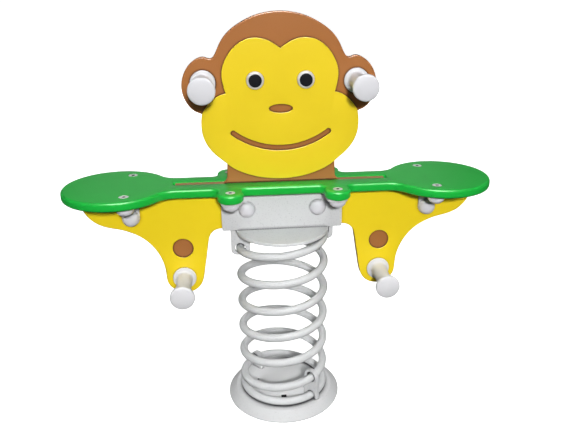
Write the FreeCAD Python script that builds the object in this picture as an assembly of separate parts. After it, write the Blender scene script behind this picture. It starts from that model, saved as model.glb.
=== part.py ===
import FreeCAD, Part
import math
import os

os.makedirs("parts", exist_ok=True)
V = FreeCAD.Vector

# Two-seat spring see-saw. Millimetres. Origin on the ground at the centre of
# the base, +Z up, +X along the see-saw (rider's right seen from the front),
# -Y towards the front.

# ---------------------------------------------------------------- dimensions
# panel (two-colour sandwich sheet: brown core, yellow skins)
SHEET = 19.0
SKIN = 1.5                   # yellow layer on each face
RECESS = 3.0                 # depth of the milled brown areas
CORE = SHEET - 2 * RECESS    # thickness where both faces are milled
PLATEAU = SHEET - 2 * SKIN   # brown thickness under the yellow layers
PANEL_BOTTOM = 420.0
SPOT_X, SPOT_Z, SPOT_R = 212.2, 378.2, 21.8
NOSE_Z, NOSE_A, NOSE_B = 672.4, 24.0, 8.8
MOUTH_R, MOUTH_LOW_Z, MOUTH_END_X, MOUTH_W = 160.3, 592.1, 96.5, 11.0
EYE_X, EYE_Z, EYE_R, PUPIL_R = 50.0, 728.5, 17.5, 13.0

# seat board
BOARD_Z0, BOARD_T = 501.3, 19.0
BOARD_Z1 = BOARD_Z0 + BOARD_T
SEAT_X, SEAT_R = 338.0, 108.0
WAIST = 45.0
LOBE_X, LOBE_Y, LOBE_R = 107.5, 70.6, 26.0
SEAT_FILLET, LOBE_FILLET_OUT, LOBE_FILLET_IN = 40.0, 15.0, 12.0
BULLNOSE = 6.0
SLOT_X, SLOT_HALF = 224.5, 9.7
TENON_X, TENON_TOP = 219.0, 518.5

# steelwork
PLATE = 5.0
BRACKET_X, BRACKET_Z0 = 127.5, 416.5
TAB_REACH = 88.0
TAB_X0 = 85.5
ANGLE_X, ANGLE_HALF, ANGLE_BOLT_Z, ANGLE_REACH = 313.0, 18.0, 454.0, 88.0
SEAT_BOLT_Y = 70.7
THROUGH_X, THROUGH_Z = 74.5, 463.0
BOLT_R, HOLE_R = 5.0, 5.25
CSK_R = 9.8
CAP_R, CAP_H = 17.5, 15.5
NUT_AF, NUT_T = 16.0, 8.0

# grips
EAR_X, EAR_Z = 151.6, 724.8
FOOT_X, FOOT_Z = 213.0, 309.2
ROD_R, ROD_HALF = 6.0, 62.0
GRIP_LEN = 99.8

# spring
COIL_R, WIRE_R, PITCH = 91.2, 8.8, 63.7
FRONT_TOP_Z = 386.3          # wire centre at the front of the top turn
TOP_FLAT_Z, BOTTOM_FLAT_Z = 401.5, 28.6
TOP_END_AZ, BOTTOM_END_AZ = 18.0, -2355.0
DISC_R, DISC_Z0, DISC_Z1 = 99.0, 410.5, 416.5

# base
BASE_R, SHELF_R, SHELF_Z = 129.0, 110.0, 19.8
SHELL = 4.5
FLOOR_R, FLOOR_T = 117.0, 6.0
ANCHOR_PCD, ANCHOR_R = 120.0, 6.5
ANCHOR_NUT_AF, ANCHOR_NUT_T = 18.0, 9.0
DRAIN_X, DRAIN_Y, DRAIN_W, DRAIN_L = -5.1, -61.3, 12.0, 12.6
CLAMP_T = 8.0                # plates at the top of the spring
LOW_CLAMP_T = 11.0           # plates at its foot


# ------------------------------------------------------------------- helpers
def spline(pts, y=0.0):
    c = Part.BSplineCurve()
    c.interpolate([V(x, y, z) for x, z in pts])
    return c.toShape()


def line(a, b, y=0.0):
    return Part.makeLine(V(a[0], y, a[1]), V(b[0], y, b[1]))


def arc3(a, m, b, y=0.0):
    return Part.Arc(V(a[0], y, a[1]), V(m[0], y, m[1]), V(b[0], y, b[1])).toShape()


def mir(pts):
    return [(-x, z) for x, z in reversed(pts)]


def slab(edges, y0, y1):
    """Extrude a closed outline in the XZ plane from y0 to y1."""
    w = Part.Wire(Part.__sortEdges__(edges))
    f = Part.Face(w)
    s = f.extrude(V(0, y1 - y0, 0))
    s.translate(V(0, y0, 0))
    return s


def cyl_y(x, z, r, y0, y1):
    return Part.makeCylinder(r, y1 - y0, V(x, y0, z), V(0, 1, 0))


def cyl_z(x, y, r, z0, z1):
    return Part.makeCylinder(r, z1 - z0, V(x, y, z0), V(0, 0, 1))


def hexagon(af, h):
    r = af / math.sqrt(3.0)
    pts = [V(r * math.cos(math.radians(60 * i + 30)), r * math.sin(math.radians(60 * i + 30)), 0) for i in range(7)]
    return Part.Face(Part.makePolygon(pts)).extrude(V(0, 0, h))


def revolve(pts):
    """Closed (r, z) polygon turned about Z."""
    w = Part.makePolygon([V(r, 0, z) for r, z in pts + [pts[0]]])
    return Part.Face(w).revolve(V(0, 0, 0), V(0, 0, 1), 360)


def place(shape, pos, axis):
    """Stand a shape built along +Z on pos, pointing along axis."""
    s = shape.copy()
    s.Placement = FreeCAD.Placement(V(*pos), FreeCAD.Rotation(V(0, 0, 1), V(*axis))).multiply(s.Placement)
    return s


def mirror_y(s):
    return s.mirror(V(0, 0, 0), V(0, 1, 0))


def mirror_x(s):
    return s.mirror(V(0, 0, 0), V(1, 0, 0))


def fillet(s, radii, test):
    """Round the edges that pass test with the first radius that gives a sound solid."""
    edges = [e for e in s.Edges if test(e)]
    for r in radii:
        try:
            f = s.makeFillet(r, edges)
            if f.isValid() and f.Volume > 0:
                return f
        except Exception:
            pass
    print("no fillet taken", len(edges))
    return s


def one(s):
    s = s.removeSplitter() if hasattr(s, "removeSplitter") else s
    return s.Solids[0] if len(s.Solids) == 1 else s


def save(name, shapes):
    if not isinstance(shapes, (list, tuple)):
        shapes = [shapes]
    solids = [x for s in shapes for x in s.Solids]
    for x in solids:
        if not x.isValid():
            print("NOT VALID", name)
    shape = solids[0] if len(solids) == 1 else Part.makeCompound(solids)
    shape.exportStep("parts/%s.step" % name)
    bb = shape.BoundBox
    print("%-28s %2d solids  x %.1f..%.1f y %.1f..%.1f z %.1f..%.1f" % (
        name, len(solids), bb.XMin, bb.XMax, bb.YMin, bb.YMax, bb.ZMin, bb.ZMax))


# ----------------------------------------------------------- panel outlines
HEAD = [(0, 857.5), (25, 855.4), (50, 849.2), (75, 837.6), (95, 824.2), (108, 811.3),
        (117, 797.6), (123.2, 785), (127.8, 776.4), (132.8, 771.6), (138.5, 771.2),
        (147, 773.9), (156, 773.2), (166, 768.2), (176, 760), (185, 747.8),
        (191, 733), (193.4, 718), (191.8, 703), (187, 690), (179.5, 678),
        (169.5, 669.3), (156.6, 664.2)]
MUZZLE = [(156.6, 664.2), (158.6, 651), (158.9, 637), (157, 620.5), (151.8, 606),
          (144.2, 593), (134, 581.2), (123, 571.2), (111, 561.2)]
CHIN = [(111, 561.2), (100, 552.9), (80, 542.3), (60, 535.1), (40, 530.2), (20, 527.4), (0, 526.4)]
BROW = [(0, 789.4), (10, 796.2), (21, 802.8), (35, 807.6), (50, 809.1), (65, 806.7),
        (79.5, 800), (92.5, 789.3), (104, 774), (111.3, 759), (114.6, 745), (114.4, 731),
        (112.2, 717.5), (108.5, 704.1)]
CHEEK = [(108.5, 704.1), (117, 702.1), (125, 698.4), (133, 692.9), (141.5, 685.3),
         (149.5, 675.6), (156.6, 664.2)]
WING = [(411.5, 501.3), (411.4, 488), (408.6, 472.5), (399.5, 456.2), (385, 442.5),
        (367, 433.6), (350, 429.2), (334, 425.2), (318, 419), (302, 410.6), (288, 400),
        (275, 385.6), (264.5, 368.6), (257.3, 351), (253.2, 333), (251.8, 316)]
FOOT = [(251.8, 316), (250.6, 302), (244.6, 289.4), (233.5, 279.6), (218.5, 273.4),
        (203, 273.6), (189.2, 279.4), (178.6, 290.2), (172.6, 304.5), (168.6, 325)]
SHIN = [(168.6, 325), (164.8, 347), (161, 370), (157.6, 391), (153.4, 405.5),
        (145, 415), (133, 419.3), (122, 420)]

NECK = [line((111, 561.2), (112.2, 532.5)), arc3((112.2, 532.5), (116.4, 522.7), (126.4, 518.5))]


def flip(edges):
    return [e.mirror(V(0, 0, 0), V(1, 0, 0)) for e in edges]


def upper_outline():
    """Head, ears, muzzle, neck; closed along the top of the tenon."""
    right = [spline(MUZZLE)] + NECK
    return [spline(mir(HEAD) + HEAD[1:])] + right + flip(right) + [line((126.4, TENON_TOP), (-126.4, TENON_TOP))]


def lower_outline():
    """Wings and legs; closed along the underside of the board."""
    right = [spline(WING), spline(FOOT), spline(SHIN)]
    return right + flip(right) + [line((122, PANEL_BOTTOM), (-122, PANEL_BOTTOM)), line((411.5, BOARD_Z0), (-411.5, BOARD_Z0))]


def patch_outline():
    right = [spline(BROW), spline(CHEEK), spline(MUZZLE)]
    return right + flip(right) + [spline(CHIN + [(-x, z) for x, z in reversed(CHIN[:-1])])]


def mouth_cutter(y0, y1):
    cz = MOUTH_LOW_Z + MOUTH_R
    half = math.asin(MOUTH_END_X / MOUTH_R)
    ro, ri = MOUTH_R + MOUTH_W / 2, MOUTH_R - MOUTH_W / 2
    def p(r, t):
        return (r * math.sin(t), cz - r * math.cos(t))
    ring = Part.Face(Part.Wire([arc3(p(ro, -half), p(ro, 0), p(ro, half)), line(p(ro, half), p(ri, half)),
                                arc3(p(ri, half), p(ri, 0), p(ri, -half)), line(p(ri, -half), p(ro, -half))]))
    ring = ring.extrude(V(0, y1 - y0, 0))
    ring.translate(V(0, y0, 0))
    for t in (-half, half):
        x, z = p(MOUTH_R, t)
        ring = ring.fuse(cyl_y(x, z, MOUTH_W / 2, y0, y1))
    return ring


def nose_cutter(y0, y1):
    e = Part.Ellipse(V(0, y0, NOSE_Z), NOSE_A, NOSE_B).toShape()
    e.rotate(V(0, y0, NOSE_Z), V(1, 0, 0), 90)
    return Part.Face(Part.Wire([e])).extrude(V(0, y1 - y0, 0))


def panel_holes(y0, y1, upper, lower):
    out = []
    if upper:
        out += [cyl_y(s * EAR_X, EAR_Z, ROD_R + 0.1, y0, y1) for s in (-1, 1)]
    if lower:
        out += [cyl_y(s * FOOT_X, FOOT_Z, ROD_R + 0.1, y0, y1) for s in (-1, 1)]
        out += [cyl_y(s * THROUGH_X, THROUGH_Z, HOLE_R, y0, y1) for s in (-1, 1)]
        out += [cyl_y(s * ANGLE_X, ANGLE_BOLT_Z, HOLE_R, y0, y1) for s in (-1, 1)]
    return out


# face_panel: the brown core of the sandwich, 13 mm, with the full-thickness tenon
core = slab(upper_outline(), -CORE / 2, CORE / 2).fuse([
    slab(patch_outline(), -PLATEAU / 2, PLATEAU / 2),
    slab(lower_outline(), -PLATEAU / 2, PLATEAU / 2),
    Part.makeBox(2 * TENON_X, SHEET, TENON_TOP - BOARD_Z0, V(-TENON_X, -SHEET / 2, BOARD_Z0))])
pockets = []
for y0, y1 in ((-SHEET / 2 - 1, -CORE / 2), (CORE / 2, SHEET / 2 + 1)):
    pockets += [mouth_cutter(y0, y1), nose_cutter(y0, y1)]
    for s in (-1, 1):
        pockets += [cyl_y(s * EYE_X, EYE_Z, EYE_R + 0.1, y0, y1), cyl_y(s * SPOT_X, SPOT_Z, SPOT_R, y0, y1)]
core = one(core).cut(panel_holes(-20, 20, True, True) + pockets)


def head_edge(e):
    b = e.BoundBox
    return abs(abs(b.YMin) - CORE / 2) < 1e-4 and abs(b.YMax - b.YMin) < 1e-4 and b.ZMin > 640 and b.ZMax > 700 \
        and e.Length > 200


core = fillet(one(core), (2.0, 1.2, 0.8), head_edge)
save("face_panel", core)


def outer_rim(y, test=lambda b: True):
    def f(e):
        b = e.BoundBox
        return abs(b.YMin - y) < 1e-4 and abs(b.YMax - y) < 1e-4 and test(b)
    return f


def face_skin():
    y0, y1 = -SHEET / 2, -PLATEAU / 2
    s = slab(patch_outline(), y0, y1)
    s = s.cut([mouth_cutter(y0 - 1, y1 + 1), nose_cutter(y0 - 1, y1 + 1)]
              + [cyl_y(t * EYE_X, EYE_Z, EYE_R + 0.1, y0 - 1, y1 + 1) for t in (-1, 1)])
    s = one(s)
    return fillet(s, (1.0, 0.8, 0.5), outer_rim(y0, lambda b: (b.XMax - b.XMin) > 36.5 or (b.ZMax - b.ZMin) > 36.5))


def leg_skin():
    y0, y1 = -SHEET / 2, -PLATEAU / 2
    s = slab(lower_outline(), y0, y1)
    s = s.cut(panel_holes(-20, 20, False, True) + [cyl_y(t * SPOT_X, SPOT_Z, SPOT_R, -20, 20) for t in (-1, 1)])
    s = one(s)

    def rim(b):
        return b.ZMax < BOARD_Z0 + 1e-3 and b.ZMin < BOARD_Z0 - 1 and \
            ((b.XMax - b.XMin) > 44 or (b.ZMax - b.ZMin) > 44) and not (b.XMax - b.XMin > 240)
    return fillet(s, (1.2, 1.0, 0.8), outer_rim(y0, rim))


fs = face_skin()
save("face_skin_front", fs)
save("face_skin_rear", mirror_y(fs))
ls = leg_skin()
save("leg_skin_front", ls)
save("leg_skin_rear", mirror_y(ls))

# eyes: white discs let into the skin, black discs let into the whites
white = Part.makeCylinder(EYE_R, 8.6)
white = white.makeFillet(3.9, [e for e in white.Edges if abs(e.BoundBox.ZMin - 8.6) < 1e-4])
white = white.cut(cyl_z(0, 0, PUPIL_R, 6.6, 10))
pupil = cyl_z(0, 0, PUPIL_R - 0.03, 6.6, 9.5)
pupil = pupil.makeFillet(1.0, [e for e in pupil.Edges if abs(e.BoundBox.ZMin - 9.5) < 1e-4])
whites, pupils = [], []
for sy in (-1, 1):
    for sx in (-1, 1):
        whites.append(place(white, (sx * EYE_X, sy * CORE / 2, EYE_Z), (0, sy, 0)))
        pupils.append(place(pupil, (sx * EYE_X, sy * CORE / 2, EYE_Z), (0, sy, 0)))
save("eye_whites", whites)
save("eye_pupils", pupils)

# --------------------------------------------------------------- seat board
def board_outline():
    """Closed outline in the XY plane, symmetric about both axes."""
    fr, fo, fi = SEAT_FILLET, LOBE_FILLET_OUT, LOBE_FILLET_IN
    # seat circle to waist line
    cy = WAIST + fr
    cx = SEAT_X - math.sqrt((SEAT_R + fr) ** 2 - cy ** 2)
    t1 = (SEAT_X + (cx - SEAT_X) * SEAT_R / (SEAT_R + fr), cy * SEAT_R / (SEAT_R + fr))
    m1a = math.atan2(t1[1] - cy, t1[0] - cx)
    mid1 = (m1a - math.pi / 2) / 2
    m1 = (cx + fr * math.cos(mid1), cy + fr * math.sin(mid1))
    t2 = (cx, WAIST)
    # waist to lobe, outer side
    oy = WAIST + fo
    ox = LOBE_X + math.sqrt((LOBE_R + fo) ** 2 - (LOBE_Y - oy) ** 2)
    t3 = (ox, WAIST)
    t4 = (LOBE_X + (ox - LOBE_X) * LOBE_R / (LOBE_R + fo), LOBE_Y + (oy - LOBE_Y) * LOBE_R / (LOBE_R + fo))
    a4 = math.atan2(t4[1] - oy, t4[0] - ox)
    a4 = a4 - 2 * math.pi if a4 > 0 else a4
    mid2 = (a4 - math.pi / 2) / 2
    m2 = (ox + fo * math.cos(mid2), oy + fo * math.sin(mid2))
    # lobe to waist, inner side
    iy = WAIST + fi
    ix = LOBE_X - math.sqrt((LOBE_R + fi) ** 2 - (LOBE_Y - iy) ** 2)
    t5 = (LOBE_X + (ix - LOBE_X) * LOBE_R / (LOBE_R + fi), LOBE_Y + (iy - LOBE_Y) * LOBE_R / (LOBE_R + fi))
    a5 = math.atan2(t5[1] - iy, t5[0] - ix)
    mid3 = (a5 - math.pi / 2) / 2
    m3 = (ix + fi * math.cos(mid3), iy + fi * math.sin(mid3))
    t6 = (ix, WAIST)

    def a(p, m, q):
        return Part.Arc(V(p[0], p[1], 0), V(m[0], m[1], 0), V(q[0], q[1], 0)).toShape()

    def l(p, q):
        return Part.makeLine(V(p[0], p[1], 0), V(q[0], q[1], 0))

    seat_mid = math.atan2(t1[1], t1[0] - SEAT_X) / 2
    quarter = [a((SEAT_X + SEAT_R, 0), (SEAT_X + SEAT_R * math.cos(seat_mid), SEAT_R * math.sin(seat_mid)), t1),
               a(t1, m1, t2), l(t2, t3), a(t3, m2, t4),
               a(t4, (LOBE_X, LOBE_Y + LOBE_R), t5), a(t5, m3, t6), l(t6, (0, WAIST))]
    half = quarter + [e.mirror(V(0, 0, 0), V(1, 0, 0)) for e in quarter]
    return half + [e.mirror(V(0, 0, 0), V(0, 1, 0)) for e in half]


w = Part.Wire(Part.__sortEdges__(board_outline()))
board = Part.Face(w).extrude(V(0, 0, BOARD_T))
board.translate(V(0, 0, BOARD_Z0))
board = one(board)
board = fillet(board, (BULLNOSE, 5.0, 4.0),
               lambda e: abs(e.BoundBox.ZMax - e.BoundBox.ZMin) < 1e-4)
slot = Part.makeBox(2 * SLOT_X, 2 * SLOT_HALF, 40, V(-SLOT_X, -SLOT_HALF, 490))
slot = slot.makeFillet(5.0, [e for e in slot.Edges if e.BoundBox.ZMax - e.BoundBox.ZMin > 10])
cuts = [slot]
csk = revolve([(0, 0), (CSK_R + 0.25, 0), (CSK_R + 0.25, -0.66), (HOLE_R, -0.66 - (CSK_R + 0.25 - HOLE_R)), (0, -0.66 - (CSK_R + 0.25 - HOLE_R))])
for sx in (-1, 1):
    for sy in (-1, 1):
        for bx, by in ((LOBE_X, LOBE_Y), (ANGLE_X, SEAT_BOLT_Y)):
            cuts.append(cyl_z(sx * bx, sy * by, HOLE_R, 495, 525))
            cuts.append(place(csk, (sx * bx, sy * by, BOARD_Z1 + 0.02), (0, 0, 1)))
board = board.cut(cuts)
save("seat_board", board)

# ----------------------------------------------------------------- steelwork
def bent(x0, x1, reach, zlow, r_in=3.0):
    """Vertical leg on y = -9.5..-14.5 from zlow, bent forward under the board."""
    y0 = -SHEET / 2
    y1 = y0 - PLATE
    z1 = BOARD_Z0
    z0 = z1 - PLATE
    ro = r_in + PLATE
    # section in the YZ plane; the bend's centre is in front of and below the corner
    cy, cz = y1 - r_in, z0 - r_in
    s45 = math.sqrt(0.5)
    pts = lambda y, z: V(x0, y, z)
    es = [Part.makeLine(pts(y0, zlow), pts(y0, cz)),
          Part.Arc(pts(y0, cz), pts(cy + ro * s45, cz + ro * s45), pts(cy, z1)).toShape(),
          Part.makeLine(pts(cy, z1), pts(-reach, z1)),
          Part.makeLine(pts(-reach, z1), pts(-reach, z0)),
          Part.makeLine(pts(-reach, z0), pts(cy, z0)),
          Part.Arc(pts(cy, z0), pts(cy + r_in * s45, cz + r_in * s45), pts(y1, cz)).toShape(),
          Part.makeLine(pts(y1, cz), pts(y1, zlow)),
          Part.makeLine(pts(y1, zlow), pts(y0, zlow))]
    return Part.Face(Part.Wire(es)).extrude(V(x1 - x0, 0, 0))


def tab_tip(s, reach, r):
    return fillet(s, (r, r - 2, 6.0), lambda e: abs(e.BoundBox.YMin + reach) < 1e-3 and abs(e.BoundBox.YMax + reach) < 1e-3
                  and e.BoundBox.ZMax - e.BoundBox.ZMin > 4)


bracket = Part.makeBox(2 * BRACKET_X, PLATE, BOARD_Z0 - PLATE - 3.0 - BRACKET_Z0, V(-BRACKET_X, -SHEET / 2 - PLATE, BRACKET_Z0))
tab = tab_tip(bent(TAB_X0, BRACKET_X, TAB_REACH, BRACKET_Z0 + 10), TAB_REACH, 16.0)
mid = Part.makeBox(2 * (TAB_X0 - 4.0), PLATE, 6.0, V(-(TAB_X0 - 4.0), -SHEET / 2 - PLATE, BOARD_Z0 - PLATE - 3.5))
bracket = bracket.fuse([tab, mirror_x(tab), mid])
bracket = one(bracket)
bracket = bracket.cut([cyl_y(s * THROUGH_X, THROUGH_Z, HOLE_R, -40, 0) for s in (-1, 1)]
                      + [cyl_z(s * LOBE_X, -LOBE_Y, HOLE_R, 490, 505) for s in (-1, 1)])
bracket = fillet(bracket, (3.0, 2.0), lambda e: abs(abs(e.BoundBox.XMin) - BRACKET_X) < 1e-3 and abs(e.BoundBox.ZMin - BRACKET_Z0) < 1e-3
                 and abs(e.BoundBox.ZMax - BRACKET_Z0) < 1e-3 and abs(e.BoundBox.XMax - e.BoundBox.XMin) < 1e-3)
save("bracket_front", bracket)
save("bracket_rear", mirror_y(bracket))

angle = bent(ANGLE_X - ANGLE_HALF, ANGLE_X + ANGLE_HALF, ANGLE_REACH, ANGLE_BOLT_Z - ANGLE_HALF)
angle = tab_tip(angle, ANGLE_REACH, 17.0)
angle = fillet(angle, (17.5, 16.0, 12.0), lambda e: abs(e.BoundBox.ZMin - (ANGLE_BOLT_Z - ANGLE_HALF)) < 1e-3
               and abs(e.BoundBox.ZMax - e.BoundBox.ZMin) < 1e-3 and e.BoundBox.YMax - e.BoundBox.YMin > 4)
angle = angle.cut([cyl_y(ANGLE_X, ANGLE_BOLT_Z, HOLE_R, -40, 0), cyl_z(ANGLE_X, -SEAT_BOLT_Y, HOLE_R, 490, 505)])
save("seat_angle_front_right", angle)
save("seat_angle_front_left", mirror_x(angle))
save("seat_angle_rear_right", mirror_y(angle))
save("seat_angle_rear_left", mirror_y(mirror_x(angle)))

# --------------------------------------------------------------- fasteners
# countersunk socket bolt, head at the top (z = 0), shank downwards
CSK_LEN = 34.5
csk_bolt = revolve([(0, -0.3), (CSK_R, -0.3), (CSK_R, -0.8), (BOLT_R, -0.8 - (CSK_R - BOLT_R)), (BOLT_R, -CSK_LEN + 1), (BOLT_R - 1, -CSK_LEN), (0, -CSK_LEN)])
socket = hexagon(6.0, 5.0)
socket.translate(V(0, 0, -4.3))
csk_bolt = csk_bolt.cut(socket)
nut = hexagon(NUT_AF, NUT_T).cut(cyl_z(0, 0, BOLT_R + 0.05, -1, NUT_T + 1))
nut = nut.common(revolve([(0, 0), (NUT_AF / 2 + 0.6, 0), (NUT_AF / 2 + 1.4, 0.8), (NUT_AF / 2 + 1.4, NUT_T - 0.8), (NUT_AF / 2 + 0.6, NUT_T), (0, NUT_T)]))
washer = cyl_z(0, 0, 10.4, 0, 2.0).cut(cyl_z(0, 0, HOLE_R, -1, 3))


def dome(h, inner_r=10.6, inner_h=None):
    """Hollow domed cover standing on z = 0."""
    inner_h = inner_h or h - 2.6
    k = 24
    outer = [(CAP_R - 0.6, 0.0), (CAP_R, 0.6), (CAP_R, 2.4)]
    outer += [(CAP_R * math.cos(t), 2.4 + (h - 2.4) * math.sin(t)) for t in [math.radians(90.0 * i / k) for i in range(1, k)]]
    es = []
    pts = [V(r, 0, z) for r, z in outer]
    es.append(Part.makeLine(pts[0], pts[1]))
    es.append(Part.makeLine(pts[1], pts[2]))
    c = Part.BSplineCurve()
    c.interpolate(pts[2:] + [V(0, 0, h)])
    es.append(c.toShape())
    es.append(Part.makeLine(V(0, 0, h), V(0, 0, inner_h)))
    es.append(Part.makeLine(V(0, 0, inner_h), V(inner_r - 3.0, 0, inner_h)))
    es.append(Part.makeLine(V(inner_r - 3.0, 0, inner_h), V(inner_r, 0, inner_h - 4.0)))
    es.append(Part.makeLine(V(inner_r, 0, inner_h - 4.0), V(inner_r, 0, 0)))
    es.append(Part.makeLine(V(inner_r, 0, 0), pts[0]))
    return Part.Face(Part.Wire(es)).revolve(V(0, 0, 0), V(0, 0, 1), 360)


under_cap = dome(15.3, 10.6, 13.0)
side_cap = dome(16.5, 10.6, 14.2)

lobe_bolts, lobe_nuts, lobe_caps = [], [], []
seat_bolts, seat_nuts, seat_caps = [], [], []
for sx in (-1, 1):
    for sy in (-1, 1):
        for bx, by, bo, nu, ca in ((LOBE_X, LOBE_Y, lobe_bolts, lobe_nuts, lobe_caps),
                                   (ANGLE_X, SEAT_BOLT_Y, seat_bolts, seat_nuts, seat_caps)):
            bo.append(place(csk_bolt, (sx * bx, sy * by, BOARD_Z1), (0, 0, 1)))
            z = BOARD_Z0 - PLATE
            nu.append(place(nut, (sx * bx, sy * by, z), (0, 0, -1)))
            ca.append(place(under_cap, (sx * bx, sy * by, z), (0, 0, -1)))
save("lobe_bolts", lobe_bolts)
save("lobe_bolt_nuts", lobe_nuts)
save("lobe_bolt_caps", lobe_caps)
save("seat_bolts", seat_bolts)
save("seat_bolt_nuts", seat_nuts)
save("seat_bolt_caps", seat_caps)

# through bolts: head in front, washer and nut behind, covers on both
Y_OUT = SHEET / 2 + PLATE
HEAD_T = 6.4
head = hexagon(NUT_AF, HEAD_T).common(revolve([(0, 0), (NUT_AF / 2 + 1.4, 0), (NUT_AF / 2 + 1.4, HEAD_T - 0.8), (NUT_AF / 2 + 0.6, HEAD_T), (0, HEAD_T)]))
SHANK = 2 * Y_OUT + 4.0 + NUT_T + 2.0


def through_set(xs, z):
    bolts, nuts, washers, caps = [], [], [], []
    shank = cyl_z(0, 0, BOLT_R, -SHANK, 0.5)
    b = one(head.fuse(shank))
    for s in xs:
        bolts.append(place(b, (s, -Y_OUT - 2.0, z), (0, -1, 0)))
        washers.append(place(washer, (s, -Y_OUT, z), (0, -1, 0)))
        washers.append(place(washer, (s, Y_OUT, z), (0, 1, 0)))
        nuts.append(place(nut, (s, Y_OUT + 2.0, z), (0, 1, 0)))
        caps.append(place(side_cap, (s, -Y_OUT, z), (0, -1, 0)))
        caps.append(place(side_cap, (s, Y_OUT, z), (0, 1, 0)))
    return bolts, nuts, washers, caps


b, n, wa, c = through_set((-THROUGH_X, THROUGH_X), THROUGH_Z)
save("bracket_bolts", b)
save("bracket_bolt_nuts", n)
save("bracket_bolt_washers", wa)
save("bracket_bolt_caps", c)
b, n, wa, c = through_set((-ANGLE_X, ANGLE_X), ANGLE_BOLT_Z)
save("seat_panel_bolts", b)
save("seat_panel_bolt_nuts", n)
save("seat_panel_bolt_washers", wa)
save("seat_panel_bolt_caps", c)

# --------------------------------------------------------------------- grips
def grip():
    """Moulded grip standing on z = 0: flange, waisted shaft, flat mushroom end."""
    top = GRIP_LEN
    es = []

    def L(a, b):
        es.append(Part.makeLine(V(a[0], 0, a[1]), V(b[0], 0, b[1])))

    def S(pts, t0=None, t1=None):
        c = Part.BSplineCurve()
        p = [V(r, 0, z) for r, z in pts]
        if t0:
            c.interpolate(Points=p, InitialTangent=V(t0[0], 0, t0[1]), FinalTangent=V(t1[0], 0, t1[1]))
        else:
            c.interpolate(p)
        es.append(c.toShape())

    bore, depth = ROD_R + 0.05, ROD_HALF - CORE / 2 + 1.5
    L((bore, 0), (23.9, 0))
    S([(23.9, 0), (24.6, 0.7), (24.8, 1.8), (24.6, 3.0), (23.6, 4.0), (22.2, 4.6)])
    S([(22.2, 4.6), (19.0, 5.8), (16.9, 8.2), (16.0, 12.0)])
    L((16.0, 12.0), (15.6, 70.0))
    S([(15.6, 70.0), (15.9, 76.0), (17.0, 80.5), (19.2, 83.4), (22.3, 85.2)])
    S([(22.3, 85.2), (24.6, 86.9), (25.5, 89.6), (25.5, 92.2), (25.0, 94.4), (23.6, 96.1)])
    S([(23.6, 96.1), (20.5, 97.3), (15.0, 98.6), (7.5, 99.5), (0.0, top)])
    L((0, top), (0, depth))
    L((0, depth), (bore, depth))
    L((bore, depth), (bore, 0))
    return Part.Face(Part.Wire(es)).revolve(V(0, 0, 0), V(0, 0, 1), 360)


g = grip()
for fr, sy in (("front", -1), ("rear", 1)):
    for lr, sx in (("left", -1), ("right", 1)):
        save("ear_handle_%s_%s" % (fr, lr), place(g, (sx * EAR_X, sy * CORE / 2, EAR_Z), (0, sy, 0)))
        save("footrest_%s_%s" % (fr, lr), place(g, (sx * FOOT_X, sy * SHEET / 2, FOOT_Z), (0, sy, 0)))
save("handle_rods", [cyl_y(s * EAR_X, EAR_Z, ROD_R, -ROD_HALF, ROD_HALF) for s in (-1, 1)])
save("footrest_rods", [cyl_y(s * FOOT_X, FOOT_Z, ROD_R, -ROD_HALF - 1.5, ROD_HALF + 1.5) for s in (-1, 1)])

# -------------------------------------------------------- spring and clamps
disc = cyl_z(0, 0, DISC_R, DISC_Z0, DISC_Z1)
disc = disc.makeFillet(2.5, [e for e in disc.Edges if abs(e.BoundBox.ZMin - DISC_Z1) < 1e-4])
save("top_disc", disc)


def plate_xz(pts, radii, az):
    """Radial plate from an (r, z) outline, turned to azimuth az."""
    w = Part.makePolygon([V(x, -CLAMP_T / 2, z) for x, z in pts + [pts[0]]])
    s = Part.Face(w).extrude(V(0, CLAMP_T, 0))
    for i, r in radii:
        x, z = pts[i]
        s = s.makeFillet(r, [e for e in s.Edges if abs(e.BoundBox.XMin - x) < 1e-3 and abs(e.BoundBox.XMax - x) < 1e-3
                             and abs(e.BoundBox.ZMin - z) < 1e-3 and abs(e.BoundBox.ZMax - z) < 1e-3])
    return s, az


def turned(s, az):
    s = s.copy()
    s.rotate(V(0, 0, 0), V(0, 0, 1), az)
    return s


def wire_z(a):
    """Height of the wire centre at unrolled azimuth a (degrees)."""
    z = FRONT_TOP_Z + PITCH * (a + 90.0) / 360.0
    k = 1.1
    # soft limits: the ends lie flat
    z = BOTTOM_FLAT_Z + math.log1p(math.exp(min(60.0, (z - BOTTOM_FLAT_Z) / k))) * k if z < BOTTOM_FLAT_Z + 40 else z
    if z > TOP_FLAT_Z - 40:
        z = TOP_FLAT_Z - math.log1p(math.exp(min(60.0, (TOP_FLAT_Z - z) / k))) * k
    return z


H = CLAMP_T / 2
zl = wire_z(-180.0)
left, _ = plate_xz([(70, DISC_Z0), (70, 355), (110.5, 355), (110.5, 416.0), (DISC_R + 0.2, 416.0), (DISC_R + 0.2, DISC_Z0)],
                   ((1, 12.0), (2, 12.0), (3, 3.0)), 0)
left = turned(left.cut(cyl_y(COIL_R, zl, 11.5, -10, 10)), 180)
save("top_clamp_left", left)
zr = wire_z(0.0)
right, _ = plate_xz([(70, DISC_Z0), (70, 384), (110.5, 384), (110.5, 416.0), (DISC_R + 0.2, 416.0), (DISC_R + 0.2, DISC_Z0)],
                    ((1, 12.0), (2, 12.0), (3, 3.0)), 0)
right = right.cut([cyl_y(COIL_R, zr, 10.0, -10, 10), Part.makeBox(20.0, 20, 20, V(COIL_R - 10.0, -10, zr))])
# the outer leg of the notch keeps its place on the disc's rim
save("top_clamp_right", right)

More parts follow.
